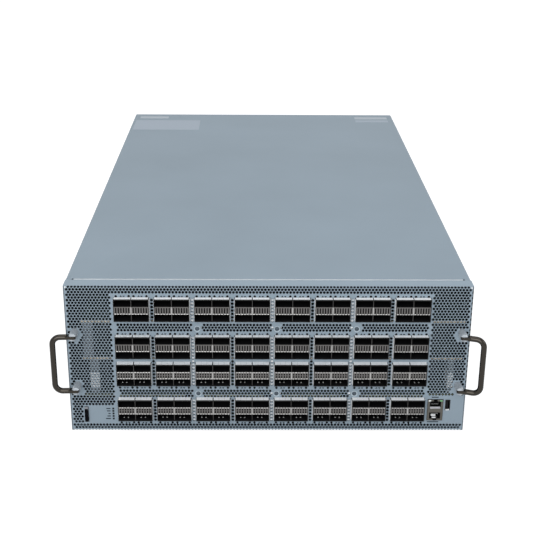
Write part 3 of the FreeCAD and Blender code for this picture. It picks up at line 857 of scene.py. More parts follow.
BLUE_GREY: Colour = (0.280, 0.345, 0.402)
UNLIT: Colour = (0.012, 0.013, 0.015)
# Painted shade at the inner ends of the jack shield and the service shell.
DARK: Colour = (0.006, 0.006, 0.006)
PAINT = Paint("blue_grey_paint", BLUE_GREY)
FRONT_PAINT = Paint(
    "front_paint",
    BLUE_GREY,
    zones=(
        # Painted shade on the rounded side bends.
        Zone(shade(BLUE_GREY, 0.5), aside=(218.3, 221.0), y=(FRONT - 1, FRONT + 2.3)),
        # Painted highlight on the top flange behind the upper bend.
        Zone(shade(BLUE_GREY, 1.1), y=(FRONT + 2.6, FRONT + 20), z=(174.0, 175.0)),
    ),
)
COVER_PAINT = Paint(
    "cover_paint",
    BLUE_GREY,
    zones=(
        # Painted shade along the folds at the two sides.
        Zone(shade(BLUE_GREY, 0.5), aside=(219.1, 221.0), z=(COVER_TOP - 1.7, COVER_TOP + 1)),
        Zone(UNLIT, aside=(-1.0, 218.9), z=(0.0, COVER_TOP - 1.25)),
    ),
)
# A painted highlight on the cover's front edge behind the seam.
EDGE = Paint("painted_edge_highlight", (0.92, 0.95, 0.97), 0.35)
# Painted shade on the rims of the holes and on the cut edges of the front sheet.
HOLE_SHADE = Paint("painted_hole_shade", (0.025, 0.030, 0.036), 0.6)
TRAY = Paint(
    "tray_paint",
    BLUE_GREY,
    zones=(Zone(UNLIT, aside=(-1.0, 218.9), z=(1.1, 180.0)), Zone(UNLIT, y=(FRONT, FRONT + 19.0))),
)
VENT_HEIGHTS = ((164.0, 180.0), (127.6, 132.0), (120.5, 124.4), (47.6, 52.0), (40.5, 44.4), (-1.0, 12.0))
PALE = Paint("pale_bracket", (0.86, 0.89, 0.92), 0.4, tuple(Zone(UNLIT, z=limits) for limits in VENT_HEIGHTS))
# The lips are the sheet's own paint; their lighter colour is a painted highlight.
LIP_HIGHLIGHT = Paint("painted_lip_highlight", (0.48, 0.56, 0.62), 0.35)
BRACKET = Patched("side_bracket", (0.20, 0.225, 0.25), (0.9, 0.93, 0.95), (54.0, 73.0))
ZINC = Metal("zinc_sheet", (0.31, 0.32, 0.33), 0.38, (60.0, 60.0, 60.0), 0.08)
DULL_ZINC = Metal("dull_zinc", (0.10, 0.11, 0.12), 0.5, (60.0, 60.0, 60.0), 0.08)
TIN = Metal("tin_plate", (0.88, 0.895, 0.91), 0.4, (300.0, 300.0, 300.0), 0.04, 0.05)
DULL_TIN = Metal("dull_tin", (0.46, 0.46, 0.49), 0.4, (300.0, 300.0, 300.0), 0.04, 0.05)
# Polished rod whose very dark colour is a painted reflection of dark surroundings, not the metal's own
# colour.
ROD_WITH_PAINTED_REFLECTION = Metal("polished_rod_painted_dark", (0.043, 0.039, 0.034), 0.10, (40.0, 40.0, 700.0), 0.12)
STEEL = Metal("bright_steel", (0.56, 0.56, 0.555), 0.34, (500.0, 40.0, 500.0))
POST = Metal("post_metal", (0.42, 0.46, 0.50), 0.3, (500.0, 40.0, 500.0), 0.06, 0.25)
SCREW = Metal("screw_steel", (0.085, 0.105, 0.125), 0.34, (300.0, 300.0, 300.0))
ALLOY = Metal("sink_alloy", (0.66, 0.67, 0.68), 0.35)
CASE = Metal("supply_case_metal", (0.34, 0.345, 0.345), 0.36, (80.0, 12.0, 80.0), 0.08)
# The second colour of each of these is painted shade deeper in the part.
MOUTH = Mouth("cage_mouth", (0.03, 0.03, 0.03), (0.006, 0.006, 0.007), CAGE_FACE, 1.5)
TEETH = Mouth("insert_teeth", (0.48, 0.475, 0.47), (0.02, 0.02, 0.02), FRONT - 6.2, 3.0)
INSERT = Mouth("cage_insert", (0.135, 0.130, 0.127), (0.004, 0.004, 0.005), FRONT - 6.1, 1.2)
SHIELD = Mouth("jack_shield", (0.105, 0.100, 0.090), DARK, FRONT - 0.8, 1.0)
SHELL = Mouth("service_shell", (0.06, 0.06, 0.06), DARK, FRONT - 0.5, 1.0)
BLACK = Moulded("black_moulding", (0.018, 0.018, 0.020))
DEEP = Moulded("port_black", (0.006, 0.006, 0.007), 0.7, 0.1)
TAG = Moulded("tag_black", (0.003, 0.003, 0.004), 0.5, 0.02)
GREY_END = Moulded("tag_grey", (0.24, 0.25, 0.27), 0.45)
CONTACT = Moulded("contact_block", (0.014, 0.013, 0.015), 0.5, 0.1)
CHIP = Moulded("chip_package", (0.05, 0.05, 0.055), 0.4)
FAN = Moulded("fan_moulding", (0.022, 0.022, 0.024), 0.45)
LATCH = Moulded("latch_moulding", (0.36, 0.07, 0.04), 0.4)
INK = Moulded("panel_ink", (0.03, 0.04, 0.05), 0.6, 0.05)
BOARD = Laminate("board_laminate")
LOWER_BOARD = Laminate("lower_laminate", core=(0.18, 0.19, 0.125))
LABEL = Sticker("pale_label", (0.37, 0.43, 0.50))
LABEL_WHITE = Sticker("white_label", (0.45, 0.50, 0.55))
LAMP = Lens("lamp_lens", (0.40, 0.46, 0.44))
DARK_LAMP = Lens("dark_lamp_lens", (0.02, 0.024, 0.028), 0.1)
CLEAR_LAMP = Lens("clear_lamp", (0.80, 0.83, 0.82))
GREEN_LAMP = Lens("green_lamp", (0.12, 0.42, 0.16))


@cache
def material_of(finish: Finish) -> Material:
    """The material of a finish, built once."""
    return finish.build()


def place(
    obj: Obj,
    name: str,
    finish: Finish,
    body: str = CHASSIS,
    smooth: float = 35.0,
    stands_for: Sequence[str] = (),
) -> None:
    """Name, dress and hang a finished piece on its body.

    Args:
        obj: The piece.
        name: Its name.
        finish: Its finish, if it has none yet.
        body: The body it moves with.
        smooth: Edges flatter than this many degrees are shaded smooth.
        stands_for: Solids that it is shown instead of.
    """
    obj.name = name
    obj.data.name = name
    if not obj.data.materials:
        obj.data.materials.append(material_of(finish))
    only(obj)
    bpy.ops.object.shade_smooth_by_angle(angle=math.radians(smooth))
    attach(obj, body)
    if stands_for:
        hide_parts(*stands_for)
    LOG.info("%s: %d faces", name, len(obj.data.polygons))


# The front


@dataclass
class Drawing:
    """A flat drawing of lines."""

    points: list[Point] = field(default_factory=list)
    edges: list[tuple[int, int]] = field(default_factory=list)
    epsilon: float = 1e-5

    def line(self, corners: Sequence[Point], closed: bool = True) -> None:
        """Add a line.

        Args:
            corners: Its points.
            closed: Whether it comes back to the first.
        """
        first, count = len(self.points), len(corners)
        self.points.extend(corners)
        last = count if closed else count - 1
        self.edges.extend((first + i, first + (i + 1) % count) for i in range(last))

    def triangles(self) -> tuple[list[Point], list[tuple[int, ...]]]:
        """Fill the drawing.

        Returns:
            The points and the triangles between them.
        """
        corners = [Vector(point) for point in self.points]
        points, _, faces, *_ = delaunay_2d_cdt(corners, self.edges, [], 0, self.epsilon, False)
        return [tuple(point) for point in points], [tuple(face) for face in faces]


@dataclass
class PiercedBezel:
    """The front sheet: a flat blank, pierced and then folded on all four sides."""

    depth: float = 19.5
    bend: float = 2.75
    low_bend: float = 1.25
    bend_steps: int = 5
    hole_radius: float = 1.55
    column_radius: float = 1.6
    lamp_radius: float = 1.4
    hole_sides: int = 10
    pitch: float = 3.597
    row_step: float = 3.138
    rows: int = 53
    full_rows: int = 3
    first_hole: float = -217.7
    top_row: float = 174.4
    reach: float = 218.3
    edge_hole: float = 219.4
    blocks: tuple[tuple[float, float, float], ...] = (
        (-math.inf, -170.5, 31.0),
        (-math.inf, -206.0, 8.5),
        (177.2, math.inf, 43.0),
    )
    gap_pitch: float = 3.587
    gap_start: float = -162.85
    gap_holes: int = 94
    gap_rows: tuple[float, ...] = (129.9, 126.7, 123.55, 49.9, 46.7, 43.5)
    gap_group: int = 3
    low_rows: tuple[float, ...] = (7.15, 4.05, -0.2)
    columns_from: tuple[tuple[float, int], ...] = ((159.0, 7), (114.1, 15), (37.5, 7))
    column_step: float = 4.0
    lamp_rows: tuple[float, ...] = (163.4, 119.0, 53.75, 9.9)
    lamp_shifts: tuple[float, ...] = (-16.4, -2.6, 2.6, 16.4)
    fitted: tuple[tuple[Limits, Limits], ...] = ((JACK_X, (13.3, 39.4)), ((197.9, 203.1), (26.0, 38.8)))
    fit_gap: float = 0.3
    tag_window: tuple[Limits, Limits] = ((-204.2, -199.8), (10.8, 30.3))
    status_x: float = -172.3
    status_size: float = 2.2
    corner_clear: float = 216.5
    tag_clear: tuple[float, float, float] = (-206.0, -198.0, 32.0)
    posts: tuple[Point, ...] = tuple((side * POST_X, z) for side in SIDES for z in POST_HEIGHTS)
    post_clear: float = 5.2
    pad_clear: float = 7.2
    pad_drop: float = 6.5
    screws: tuple[Point, ...] = tuple((x, z) for x in (-77.2, 9.2, 95.6) for z in (125.5, 46.75))
    screw_clear: tuple[float, float] = (5.2, 7.0)
    cell: float = 4.0
    within: float = 0.97
    fold_slack: float = 1e-4
    merge: float = 0.02
    lap_width: float = 423.0
    lap_depth: Limits = (FRONT + 13.5, FRONT + 31.5)
    lap_height: Limits = (172.1, 173.3)
    # Radius, place across and height of the painted glints at the top corners.
    dot: tuple[float, float, float] = (0.75, 217.4, 173.4)
    dot_rise: float = 1.4
    dot_sides: int = 16
    smooth: float = 38.0

    def lattice(self, row: int) -> list[float]:
        """Places of the holes across one staggered row.

        Args:
            row: The row, counted from the top.

        Returns:
            Their middles.
        """
        start = self.first_hole + (row % 2) * self.pitch / 2
        count = int((self.reach - start) / self.pitch) + 1
        holes = [start + self.pitch * hole for hole in range(count)]
        if row % 2 == 0:
            holes = holes[1:-1] + [self.edge_hole]
        return holes

    def in_block(self, row: int, x: float, z: float) -> bool:
        """Whether the main lattice is pierced at a place."""
        in_blocks = any(left <= x <= right and z >= low for left, right, low in self.blocks)
        return row < self.full_rows or in_blocks

    def is_bare(self, x: float, z: float) -> bool:
        """Whether the sheet is kept whole at a corner, the tag, a handle post or a screw.

        Args:
            x: The place across.
            z: The place up.

        Returns:
            True where it has no vents.
        """
        near_corner = abs(x) > self.corner_clear and not self.bend < z < HEIGHT - self.bend
        left, right, top = self.tag_clear
        near_tag = left < x < right and z < top
        near_post = any(
            math.hypot(x - px, z - pz) < self.post_clear
            or math.hypot(x - px, z - pz + self.pad_drop) < self.pad_clear
            for px, pz in self.posts
        )
        across, up = self.screw_clear
        near_screw = any(abs(x - sx) < across and abs(z - sz) < up for sx, sz in self.screws)
        return near_corner or near_tag or near_post or near_screw

    def vents(self) -> Iterator[Point]:
        """Go through the staggered vent holes.

        Yields:
            Their middles on the blank.
        """
        for row in range(self.rows):
            z = self.top_row - self.row_step * row
            for x in self.lattice(row):
                if self.in_block(row, x, z) and not self.is_bare(x, z):
                    yield x, z
        for row, z in enumerate(self.gap_rows):
            shift = (row % self.gap_group % 2) / 2
            for hole in range(self.gap_holes):
                x = self.gap_start + self.gap_pitch * (hole + shift)
                if not self.is_bare(x, z):
                    yield x, z
        for row, z in enumerate(self.low_rows, 1):
            yield from ((x, z) for x in self.lattice(row) if abs(x) < self.corner_clear)

    def columns(self) -> Iterator[Point]:
        """Go through the upright rows of holes between the cages.

        Yields:
            Their middles on the blank.
        """
        for bank in BANKS[:-1]:
            for top, count in self.columns_from:
                for index in range(count):
                    yield bank + BANK_PITCH / 2, top - self.column_step * index

    def lamp_holes(self) -> Iterator[Point]:
        """Go through the lamp holes above and below the cages.

        Yields:
            Their middles on the blank.
        """
        for z in self.lamp_rows:
            for bank in BANKS:
                yield from ((bank + shift, z) for shift in self.lamp_shifts)

    def round_holes(self) -> Iterator[tuple[float, float, float]]:
        """Go through all round holes.

        Yields:
            Their middles and radii.
        """
        yield from ((x, z, self.hole_radius) for x, z in self.vents())
        yield from ((x, z, self.column_radius) for x, z in self.columns())
        yield from ((x, z, self.lamp_radius) for x, z in self.lamp_holes())

    def windows(self) -> Iterator[tuple[Limits, Limits]]:
        """Go through the rectangular openings.

        Yields:
            Their limits across and up.
        """
        gap = self.fit_gap
        for low in CAGE_BOTTOMS:
            for bank in BANKS:
                yield centred(bank, CAGE_WIDTH + 2 * gap), grown((low, low + CAGE_HEIGHT), gap)
        for x, z in self.fitted:
            yield grown(x, gap), grown(z, gap)
        yield self.tag_window
        for z in STATUS_HEIGHTS:
            yield centred(self.status_x, self.status_size), centred(z, self.status_size)

    def angles(self) -> list[float]:
        """Angles of the steps round a bend."""
        return [math.pi / 2 * step / self.bend_steps for step in range(self.bend_steps + 1)]

    def around(self, out: float, bend: float) -> Point:
        """Fold a point of a flap.

        Args:
            out: How far out it is on the blank.
            bend: The radius of the bend.

        Returns:
            How far it lies out and back once it is folded.
        """
        quarter = bend * math.pi / 2
        if out >= quarter:
            return bend, bend + out - quarter
        return bend * math.sin(out / bend), bend * (1 - math.cos(out / bend))

    def lift(self, back: float, bend: float) -> float:
        """How far out a bend has come at a depth behind the front."""
        return math.sqrt(bend**2 - max(bend - back, 0.0) ** 2)

    def along(self, back: float, bend: float) -> float:
        """Unfold a depth behind the front.

        Args:
            back: The depth.
            bend: The radius of the bend.

        Returns:
            How far along the blank it is.
        """
        if back >= bend:
            return bend * (math.pi / 2 - 1) + back
        return bend * math.acos(1 - back / bend)

    def corner(self, rise: float) -> list[Point]:
        """Outline of the blank at one corner.

        Args:
            rise: The radius of its upper or lower bend.

        Returns:
            Points out and up from the corner of the flat front.
        """
        steps = {bend * (1 - math.cos(angle)) for bend in (self.bend, rise) for angle in self.angles()}
        depths = sorted(steps | {self.depth})
        upright = [(self.lift(back, self.bend), self.along(back, rise)) for back in depths]
        across = [(self.along(back, self.bend), self.lift(back, rise)) for back in depths[1:]]
        return upright[::-1] + across

    def flat(self) -> tuple[float, float, float]:
        """Half the width of the flat front, and its lower and upper limits."""
        return HALF_WIDTH - self.bend, self.low_bend, HEIGHT - self.bend

    def outline(self) -> list[Point]:
        """Go round the blank, clockwise from its top right flap.

        Returns:
            The corners.
        """
        half, low, high = self.flat()
        top, foot = self.corner(self.bend), self.corner(self.low_bend)
        points = [(half + u, high + v) for u, v in top]
        points += [(half + u, low - v) for u, v in foot[::-1]]
        points += [(-half - u, low - v) for u, v in foot]
        points += [(-half - u, high + v) for u, v in top[::-1]]
        return points

    def fold_lines(self) -> Iterator[list[Point]]:
        """Go through the lines that the bends step at.

        Yields:
            Both ends of each.
        """
        half, low, high = self.flat()
        for angle in self.angles():
            for bend, edge, way in ((self.bend, high, 1), (self.low_bend, low, -1)):
                end = half + self.lift(bend * (1 - math.cos(angle)), self.bend)
                yield [(-end, edge + way * bend * angle), (end, edge + way * bend * angle)]
            back = self.bend * (1 - math.cos(angle))
            foot, top = low - self.lift(back, self.low_bend), high + self.lift(back, self.bend)
            for side in SIDES:
                x = side * (half + self.bend * angle)
                yield [(x, foot), (x, top)]

    def folded(self, u: float, v: float) -> list[float]:
        """Fold a point of the blank.

        Args:
            u: Its place across.
            v: Its place up.

        Returns:
            Its place in space, in metres.
        """
        half, low, high = self.flat()
        over_x = max(abs(u) - half, 0.0)
        over_z = max(v - high, low - v, 0.0)
        x, y, z = u, 0.0, v
        lift, back = self.around(over_z, self.bend if v > high else self.low_bend)
        if over_z > 0 and over_x <= self.lift(back, self.bend) + self.fold_slack:
            y = back
            z = high + lift if v > high else low - lift
        elif over_x > 0:
            lift, y = self.around(over_x, self.bend)
            x = math.copysign(half + lift, u)
        return metres((x, FRONT + y, z))

    def is_flap(self, u: float, v: float) -> bool:
        """Tell the front and its flaps from the notches at the corners.

        Args:
            u: A place across the blank.
            v: The place up.

        Returns:
            True on the front or a flap.
        """
        half, low, high = self.flat()
        over_x = abs(u) - half
        over_z, rise = max((v - high, self.bend), (low - v, self.low_bend))
        if over_x <= 0 or over_z <= 0:
            return True
        is_upright = over_x < self.lift(self.around(over_z, rise)[1], self.bend)
        return is_upright or over_z < self.lift(self.around(over_x, self.bend)[1], rise)

    def blank(self) -> tuple[list[Point], list[tuple[int, ...]]]:
        """Draw and pierce the blank.

        Returns:
            Its points and triangles.
        """
        drawing = Drawing()
        drawing.line(self.outline())
        for ends in self.fold_lines():
            drawing.line(ends, closed=False)
        openings = list(self.windows())
        for (left, right), (low, high) in openings:
            drawing.line([(left, low), (right, low), (right, high), (left, high)])
        turns = [2 * math.pi * (i + 0.5) / self.hole_sides for i in range(self.hole_sides)]
        cells: dict[Point, list[tuple[float, float, float]]] = {}
        for x, z, radius in self.round_holes():
            drawing.line([(x + radius * math.cos(t), z + radius * math.sin(t)) for t in turns])
            cells.setdefault((x // self.cell, z // self.cell), []).append((x, z, radius))
        points, faces = drawing.triangles()

        def is_sheet(face: Sequence[int]) -> bool:
            """Tell sheet from openings.

            Args:
                face: A triangle.

            Returns:
                True if it is sheet.
            """
            u, v = (sum(points[i][axis] for i in face) / 3 for axis in (0, 1))
            column, row = u // self.cell, v // self.cell
            near = [cells.get((column + i, row + j), ()) for i in (-1, 0, 1) for j in (-1, 0, 1)]
            in_hole = any(math.hypot(u - x, v - z) < r * self.within for holes in near for x, z, r in holes)
            in_window = any(x[0] < u < x[1] and z[0] < v < z[1] for x, z in openings)
            return not in_hole and not in_window and self.is_flap(u, v)

        return points, [face for face in faces if is_sheet(face)]

    def build(self) -> None:
        """Fold the blank, give it its thickness with painted shade on its rims, and add the lap and the
        painted corner glints.
        """
        points, faces = self.blank()
        mesh = bpy.data.meshes.new("front_sheet")
        for finish in (FRONT_PAINT, HOLE_SHADE):
            mesh.materials.append(material_of(finish))
        mesh.from_pydata([self.folded(u, v) for u, v in points], [], faces)
        sheet = bpy.data.objects.new("front_sheet", mesh)
        bpy.context.collection.objects.link(sheet)
        with editing(sheet):
            pick_all()
            bpy.ops.mesh.delete_loose()
            pick_all()
            bpy.ops.mesh.remove_doubles(threshold=self.merge * MM)
            outwards()
        # The rims take the second slot, painted shade.
        modify(sheet, "SOLIDIFY", thickness=SHEET * MM, offset=-1.0, material_offset_rim=1)
        replaced = ["front_bezel"]
        place(sheet, "front_sheet", FRONT_PAINT, smooth=self.smooth, stands_for=replaced)
        lap = block(centred(0, self.lap_width), self.lap_depth, self.lap_height)
        bevel(lap, lambda middle, way: middle.z > self.lap_height[1] - TOUCH)
        place(lap, "front_lap", PAINT, stands_for=replaced)
        # Painted glints at the two top corners.
        place(self.painted_corner_glints(), "painted_corner_glints", TIN)

    def painted_corner_glints(self) -> Obj:
        """Small bright domes where the bends meet at the two top corners, as painted glints.

        Returns:
            Both in one piece.
        """
        radius, x, z = self.dot
        dots = []
        for side in SIDES:
            middle = (side * x, FRONT + self.dot_rise / 2, z)
            dot = drum(radius, middle, Axis.Y, self.dot_rise, self.dot_sides)
            dots.append(bevel(dot, edges(before=FRONT + TOUCH)))
        return joined(dots)


@dataclass
class PanelScrews:
    """Cross-recess screws that hold the front sheet to its posts."""

    head_radius: float = 2.4
    head_rise: float = 0.4
    edge: float = 0.2
    cross: float = 3.2
    cross_width: float = 0.8
    cross_depth: float = 0.35
    lip: Limits = (2.5, 3.5)
    lip_rise: float = 0.8
    lip_root: float = 0.1
    lip_slope: float = 0.6
    lip_sides: int = 28
    lip_cut: float = 4.0
    lip_slack: float = 0.1

    def head(self, spot: Point, facing: Facing, y: float) -> Obj:
        """One domed head with its cross.

        Args:
            spot: Its middle across and up.
            facing: The end it is on.
            y: The face it sits on.

        Returns:
            The screw.
        """
        x, z = spot
        face = y + facing.value * self.head_rise
        middle = (x, y + facing.value * self.head_rise / 2, z)
        screw = drum(self.head_radius, middle, Axis.Y, self.head_rise, ROUND_SIDES)
        bevel(screw, edges(behind=face - TOUCH, before=face + TOUCH), self.edge, ROUND_STEPS)
        slot_y = sorted((face - facing.value * self.cross_depth, face + facing.value))
        for size_x, size_z in ((self.cross, self.cross_width), (self.cross_width, self.cross)):
            carve(screw, block(centred(x, size_x), slot_y, centred(z, size_z)))
        return screw

    def ring(self, spot: Point) -> Obj:
        """The pressed lip in the sheet round a screw, sloping in to its head.

        Args:
            spot: Its middle across and up.

        Returns:
            The lip.
        """
        x, z = spot
        inner, outer = self.lip
        front, root = FRONT - self.lip_rise, FRONT + self.lip_root
        depth, sides = self.lip_rise + self.lip_root, self.lip_sides
        ring = drum(outer, (x, (root + front) / 2, z), Axis.Y, depth, sides)
        carve(ring, drum(inner, (x, FRONT, z), Axis.Y, self.lip_cut, sides))

        def is_inner(middle: Vector, way: Vector) -> bool:
            """Whether an edge is round the front of the hole."""
            radius = math.hypot(middle.x - x, middle.z - z)
            return middle.y < front + TOUCH and radius < inner + self.lip_slack

        return bevel(ring, is_inner, self.lip_slope)

    def build(self) -> None:
        """All the front screws and their rings."""
        spots = PiercedBezel().screws
        screws = at_places(self.head(spots[0], Facing.FRONT, FRONT), spots)
        place(screws, "panel_screws", SCREW)
        # The lips take the painted highlight.
        place(at_places(self.ring(spots[0]), spots), "screw_rings", LIP_HIGHLIGHT)


class VentStyle(Enum):
    """How the middle of a cage is vented, by where the edges of its openings are from its middle."""

    TALL = (0.38,)
    SQUARE = (0.04, 0.32)


@dataclass
class CageInserts:
    """Dividers and vented middle sections that fill the mouths of the cages."""

    wall: float = 0.6
    divider: float = 0.6
    nose: float = 1.0
    nose_depth: Limits = (-0.5, 1.0)
    middle_height: float = 8.6
    face: float = CAGE_FACE + 0.8
    divider_setback: float = 0.5
    divider_edge: float = 0.25
    back: float = FRONT + 46.0
    slots: int = 6
    slot_depth: float = 3.0
    tooth: Triple = (2.0, 0.6, 1.0)
    tooth_root: float = 1.0
    tooth_edge: float = 0.35
    styles: tuple[VentStyle, ...] = (VentStyle.TALL, VentStyle.TALL, VentStyle.SQUARE, VentStyle.SQUARE)

    def middle(self, left: float, right: float, height: float, style: VentStyle) -> Obj:
        """One vented middle section.

        Args:
            left: Its left limit.
            right: Its right limit.
            height: Its middle height.
            style: How it is vented.

        Returns:
            The section, closed all round.
        """
        rows, columns = 2 * len(style.value) + 1, 2 * self.slots + 1
        section = added(
            bpy.ops.mesh.primitive_grid_add,
            ((right - left) * MM, self.middle_height * MM, 1),
            x_subdivisions=columns,
            y_subdivisions=rows,
            size=1,
            location=metres(((left + right) / 2, self.face, height)),
            rotation=TURNS[Axis.Y],
        )
        cell_x, cell_z = (right - left) / columns, self.middle_height / rows
        bottom = height - self.middle_height / 2

        def is_slot(middle: Vector, way: Vector) -> bool:
            """Whether a cell of the grid is an opening."""
            return int((middle.x - left) / cell_x) % 2 == 1 and int((middle.z - bottom) / cell_z) % 2 == 1

        with editing(section):
            outwards()
            for line, spread in enumerate(style.value):
                old = (line + 0.5) * cell_z
                for side in SIDES:
                    level = height + side * old
                    pick(section, Element.EDGE, lambda middle, way: abs(middle.z - level) < TOUCH)
                    shift = side * (spread * self.middle_height - old)
                    bpy.ops.transform.translate(value=metres((0, 0, shift)))
            pick(section, Element.FACE, is_slot)
            draw_out((0, self.slot_depth, 0))
            bpy.ops.mesh.select_mode(type=Element.EDGE.value)
            bpy.ops.mesh.select_all(action="DESELECT")
            bpy.ops.mesh.select_non_manifold(extend=False, use_boundary=True)
            draw_out((0, self.back - self.face, 0))
            bpy.ops.mesh.edge_face_add()
            outwards()
        return section

    def teeth(self, left: float, right: float, height: float) -> Obj:
        """A row of spring teeth along an edge of a middle section.

        Args:
            left: The section's left limit.
            right: Its right limit.
            height: The middle of the teeth.

        Returns:
            The row.
        """
        width, out, tall = self.tooth
        step = (right - left) / self.slots
        across = centred(left + step / 2, width)
        first = block(across, (self.face - out, self.face + self.tooth_root), centred(height, tall))
        bevel(first, edges(Axis.X, before=self.face), self.tooth_edge)
        return repeat(first, self.slots, (step, 0, 0))

    def bank(self, bottom: float, style: VentStyle) -> tuple[Obj, Obj]:
        """What fills the first cage of a row.

        Args:
            bottom: The underside of the row's cages.
            style: How their middles are vented.

        Returns:
            The sections with the divider, and the bright nose with the teeth.
        """
        x, top = BANKS[0], bottom + CAGE_HEIGHT
        height = (bottom + top) / 2
        front = self.face + self.divider_setback
        divider = block(centred(x, self.divider), (front, self.back), (bottom + self.wall, top - self.wall))
        bevel(divider, edges(Axis.Z, before=front + TOUCH), self.divider_edge)
        nose_y = [self.face + shift for shift in self.nose_depth]
        nose = block(centred(x, self.nose), nose_y, centred(height, self.middle_height))
        bevel(nose, edges(Axis.Z, before=self.face))
        sections, bright = [divider], [nose]
        inner = CAGE_WIDTH / 2 - self.wall
        rise = self.middle_height / 2 - self.tooth[2] / 2
        levels = [height - rise, height + rise] if style is VentStyle.SQUARE else [height - rise]
        for limits in ((x - inner, x - self.divider / 2), (x + self.divider / 2, x + inner)):
            sections.append(self.middle(*limits, height, style))
            bright += [self.teeth(*limits, level) for level in levels]
        return joined(sections), joined(bright)

    def build(self) -> None:
        """The sections of all rows in one piece, and their bright edges in another."""
        banks = [self.bank(bottom, style) for bottom, style in zip(CAGE_BOTTOMS, self.styles)]
        sections, bright = (joined([along_banks(piece) for piece in pieces]) for pieces in zip(*banks))
        place(sections, "vented_inserts", INSERT, stands_for=["cage_inserts"])
        place(bright, "insert_teeth", TEETH, stands_for=["cage_inserts"])


@dataclass
class CageCollars:
    """Bright spring collars round the mouths of the cages."""

    thick: float = 0.3
    front: float = CAGE_FACE + 1.8
    knee: float = CAGE_FACE + 3.0
    back: float = FRONT - 0.3
    finger_gap: float = 0.12
    end: float = 0.5
    middle_gap: float = 0.9
    per_side: int = 3
    flares: tuple[float, ...] = (0.1, 0.2, 1.0, 0.8)
    side_flare: float = 0.5

    def finger(self, x: Sequence[float], z: Limits, way: Sequence[float]) -> Obj:
        """One finger that lies on a cage and springs out to the panel.

        Args:
            x: Its limits across where it lies on the cage.
            z: Its limits up.
            way: How its rear end stands out.

        Returns:
            The finger.
        """
        strip = block(x, (self.front, self.back), z)
        with editing(strip):
            pick_all()
            bpy.ops.mesh.bisect(plane_co=(0, self.knee * MM, 0), plane_no=Axis.Y.value)
            pick(strip, Element.FACE, lambda middle, normal: normal.y > ALIGNED)
            bpy.ops.transform.translate(value=metres(way))
        return strip

    def bank(self, bottom: float, flare: float) -> Obj:
        """The fingers on all sides of the first cage of a row.

        Args:
            bottom: The underside of the cage.
            flare: How far the upper fingers stand out.

        Returns:
            The fingers in one piece.
        """
        x, half, top = BANKS[0], CAGE_WIDTH / 2, bottom + CAGE_HEIGHT
        step = (half - self.end - self.middle_gap / 2) / self.per_side
        fingers = []
        for z, up in (((top, top + self.thick), flare), ((bottom - self.thick, bottom), -self.side_flare)):
            for start in (x - half + self.end, x + self.middle_gap / 2):
                first = self.finger((start, start + step - self.finger_gap), z, (0, 0, up))
                fingers.append(repeat(first, self.per_side, (step, 0, 0)))
        step = (CAGE_HEIGHT - 2 * self.end) / self.per_side
        for side in SIDES:
            across = sorted((x + side * half, x + side * (half + self.thick)))
            up = (bottom + self.end, bottom + self.end + step - self.finger_gap)
            first = self.finger(across, up, (side * self.side_flare, 0, 0))
            fingers.append(repeat(first, self.per_side, (0, 0, step)))
        return joined(fingers)

    def build(self) -> None:
        """A piece for each row."""
        for row, (bottom, flare) in enumerate(zip(CAGE_BOTTOMS, self.flares), 1):
            place(along_banks(self.bank(bottom, flare)), f"row_{row}_spring_fingers", TIN)


@dataclass
class PortTabs:
    """Small sprung tabs inside the ports of the lower rows, under the middle sections."""

    rows: tuple[int, ...] = (3, 4)
    size: Triple = (1.3, 3.0, 0.8)
    shifts: Limits = (-3.3, 1.3)
    height: float = 3.4
    front: float = CAGE_FACE + 2.5

    def tab(self, x: float, z: float) -> Obj:
        """One tab with a rounded nose.

        Args:
            x: Its middle across.
            z: Its middle up.

        Returns:
            The tab.
        """
        width, depth, tall = self.size
        tab = block(centred(x, width), (self.front, self.front + depth), centred(z, tall))
        return bevel(tab, edges(before=self.front + TOUCH))

    def build(self) -> None:
        """A piece for each of the rows."""
        spots = [BANKS[0] + column + shift for column in PORT_COLUMNS for shift in self.shifts]
        for row in self.rows:
            z = CAGE_BOTTOMS[row - 1] + self.height
            tabs = along_banks(joined([self.tab(x, z) for x in spots]))
            place(tabs, f"row_{row}_port_tabs", STEEL)


@dataclass
class PortMarks:
    """Printed arrow marks between the port lamps, in pairs that point up and down."""

    size: float = 1.5
    lift: float = 0.05
    aside: float = 1.6
    heights: tuple[float, ...] = (163.3, 118.9, 53.6, 9.6)

    def arrow(self, x: float, z: float, way: int) -> Obj:
        """One three-sided mark on the panel.

        Args:
            x: Its middle across.
            z: Its middle up.
            way: -1 to point up and 1 to point down.

        Returns:
            The mark.
        """
        return added(
            bpy.ops.mesh.primitive_cylinder_add,
            vertices=3,
            radius=self.size * MM,
            depth=self.lift * MM,
            location=metres((x, FRONT - self.lift / 2, z)),
            rotation=(-way * math.pi / 2, 0, 0),
        )

    def build(self) -> None:
        """The marks of all rows."""
        spots = [(BANKS[0] + column + way * self.aside, way) for column in PORT_COLUMNS for way in SIDES]
        rows = [along_banks(joined([self.arrow(x, z, way) for x, way in spots])) for z in self.heights]
        place(joined(rows), "port_marks", INK)


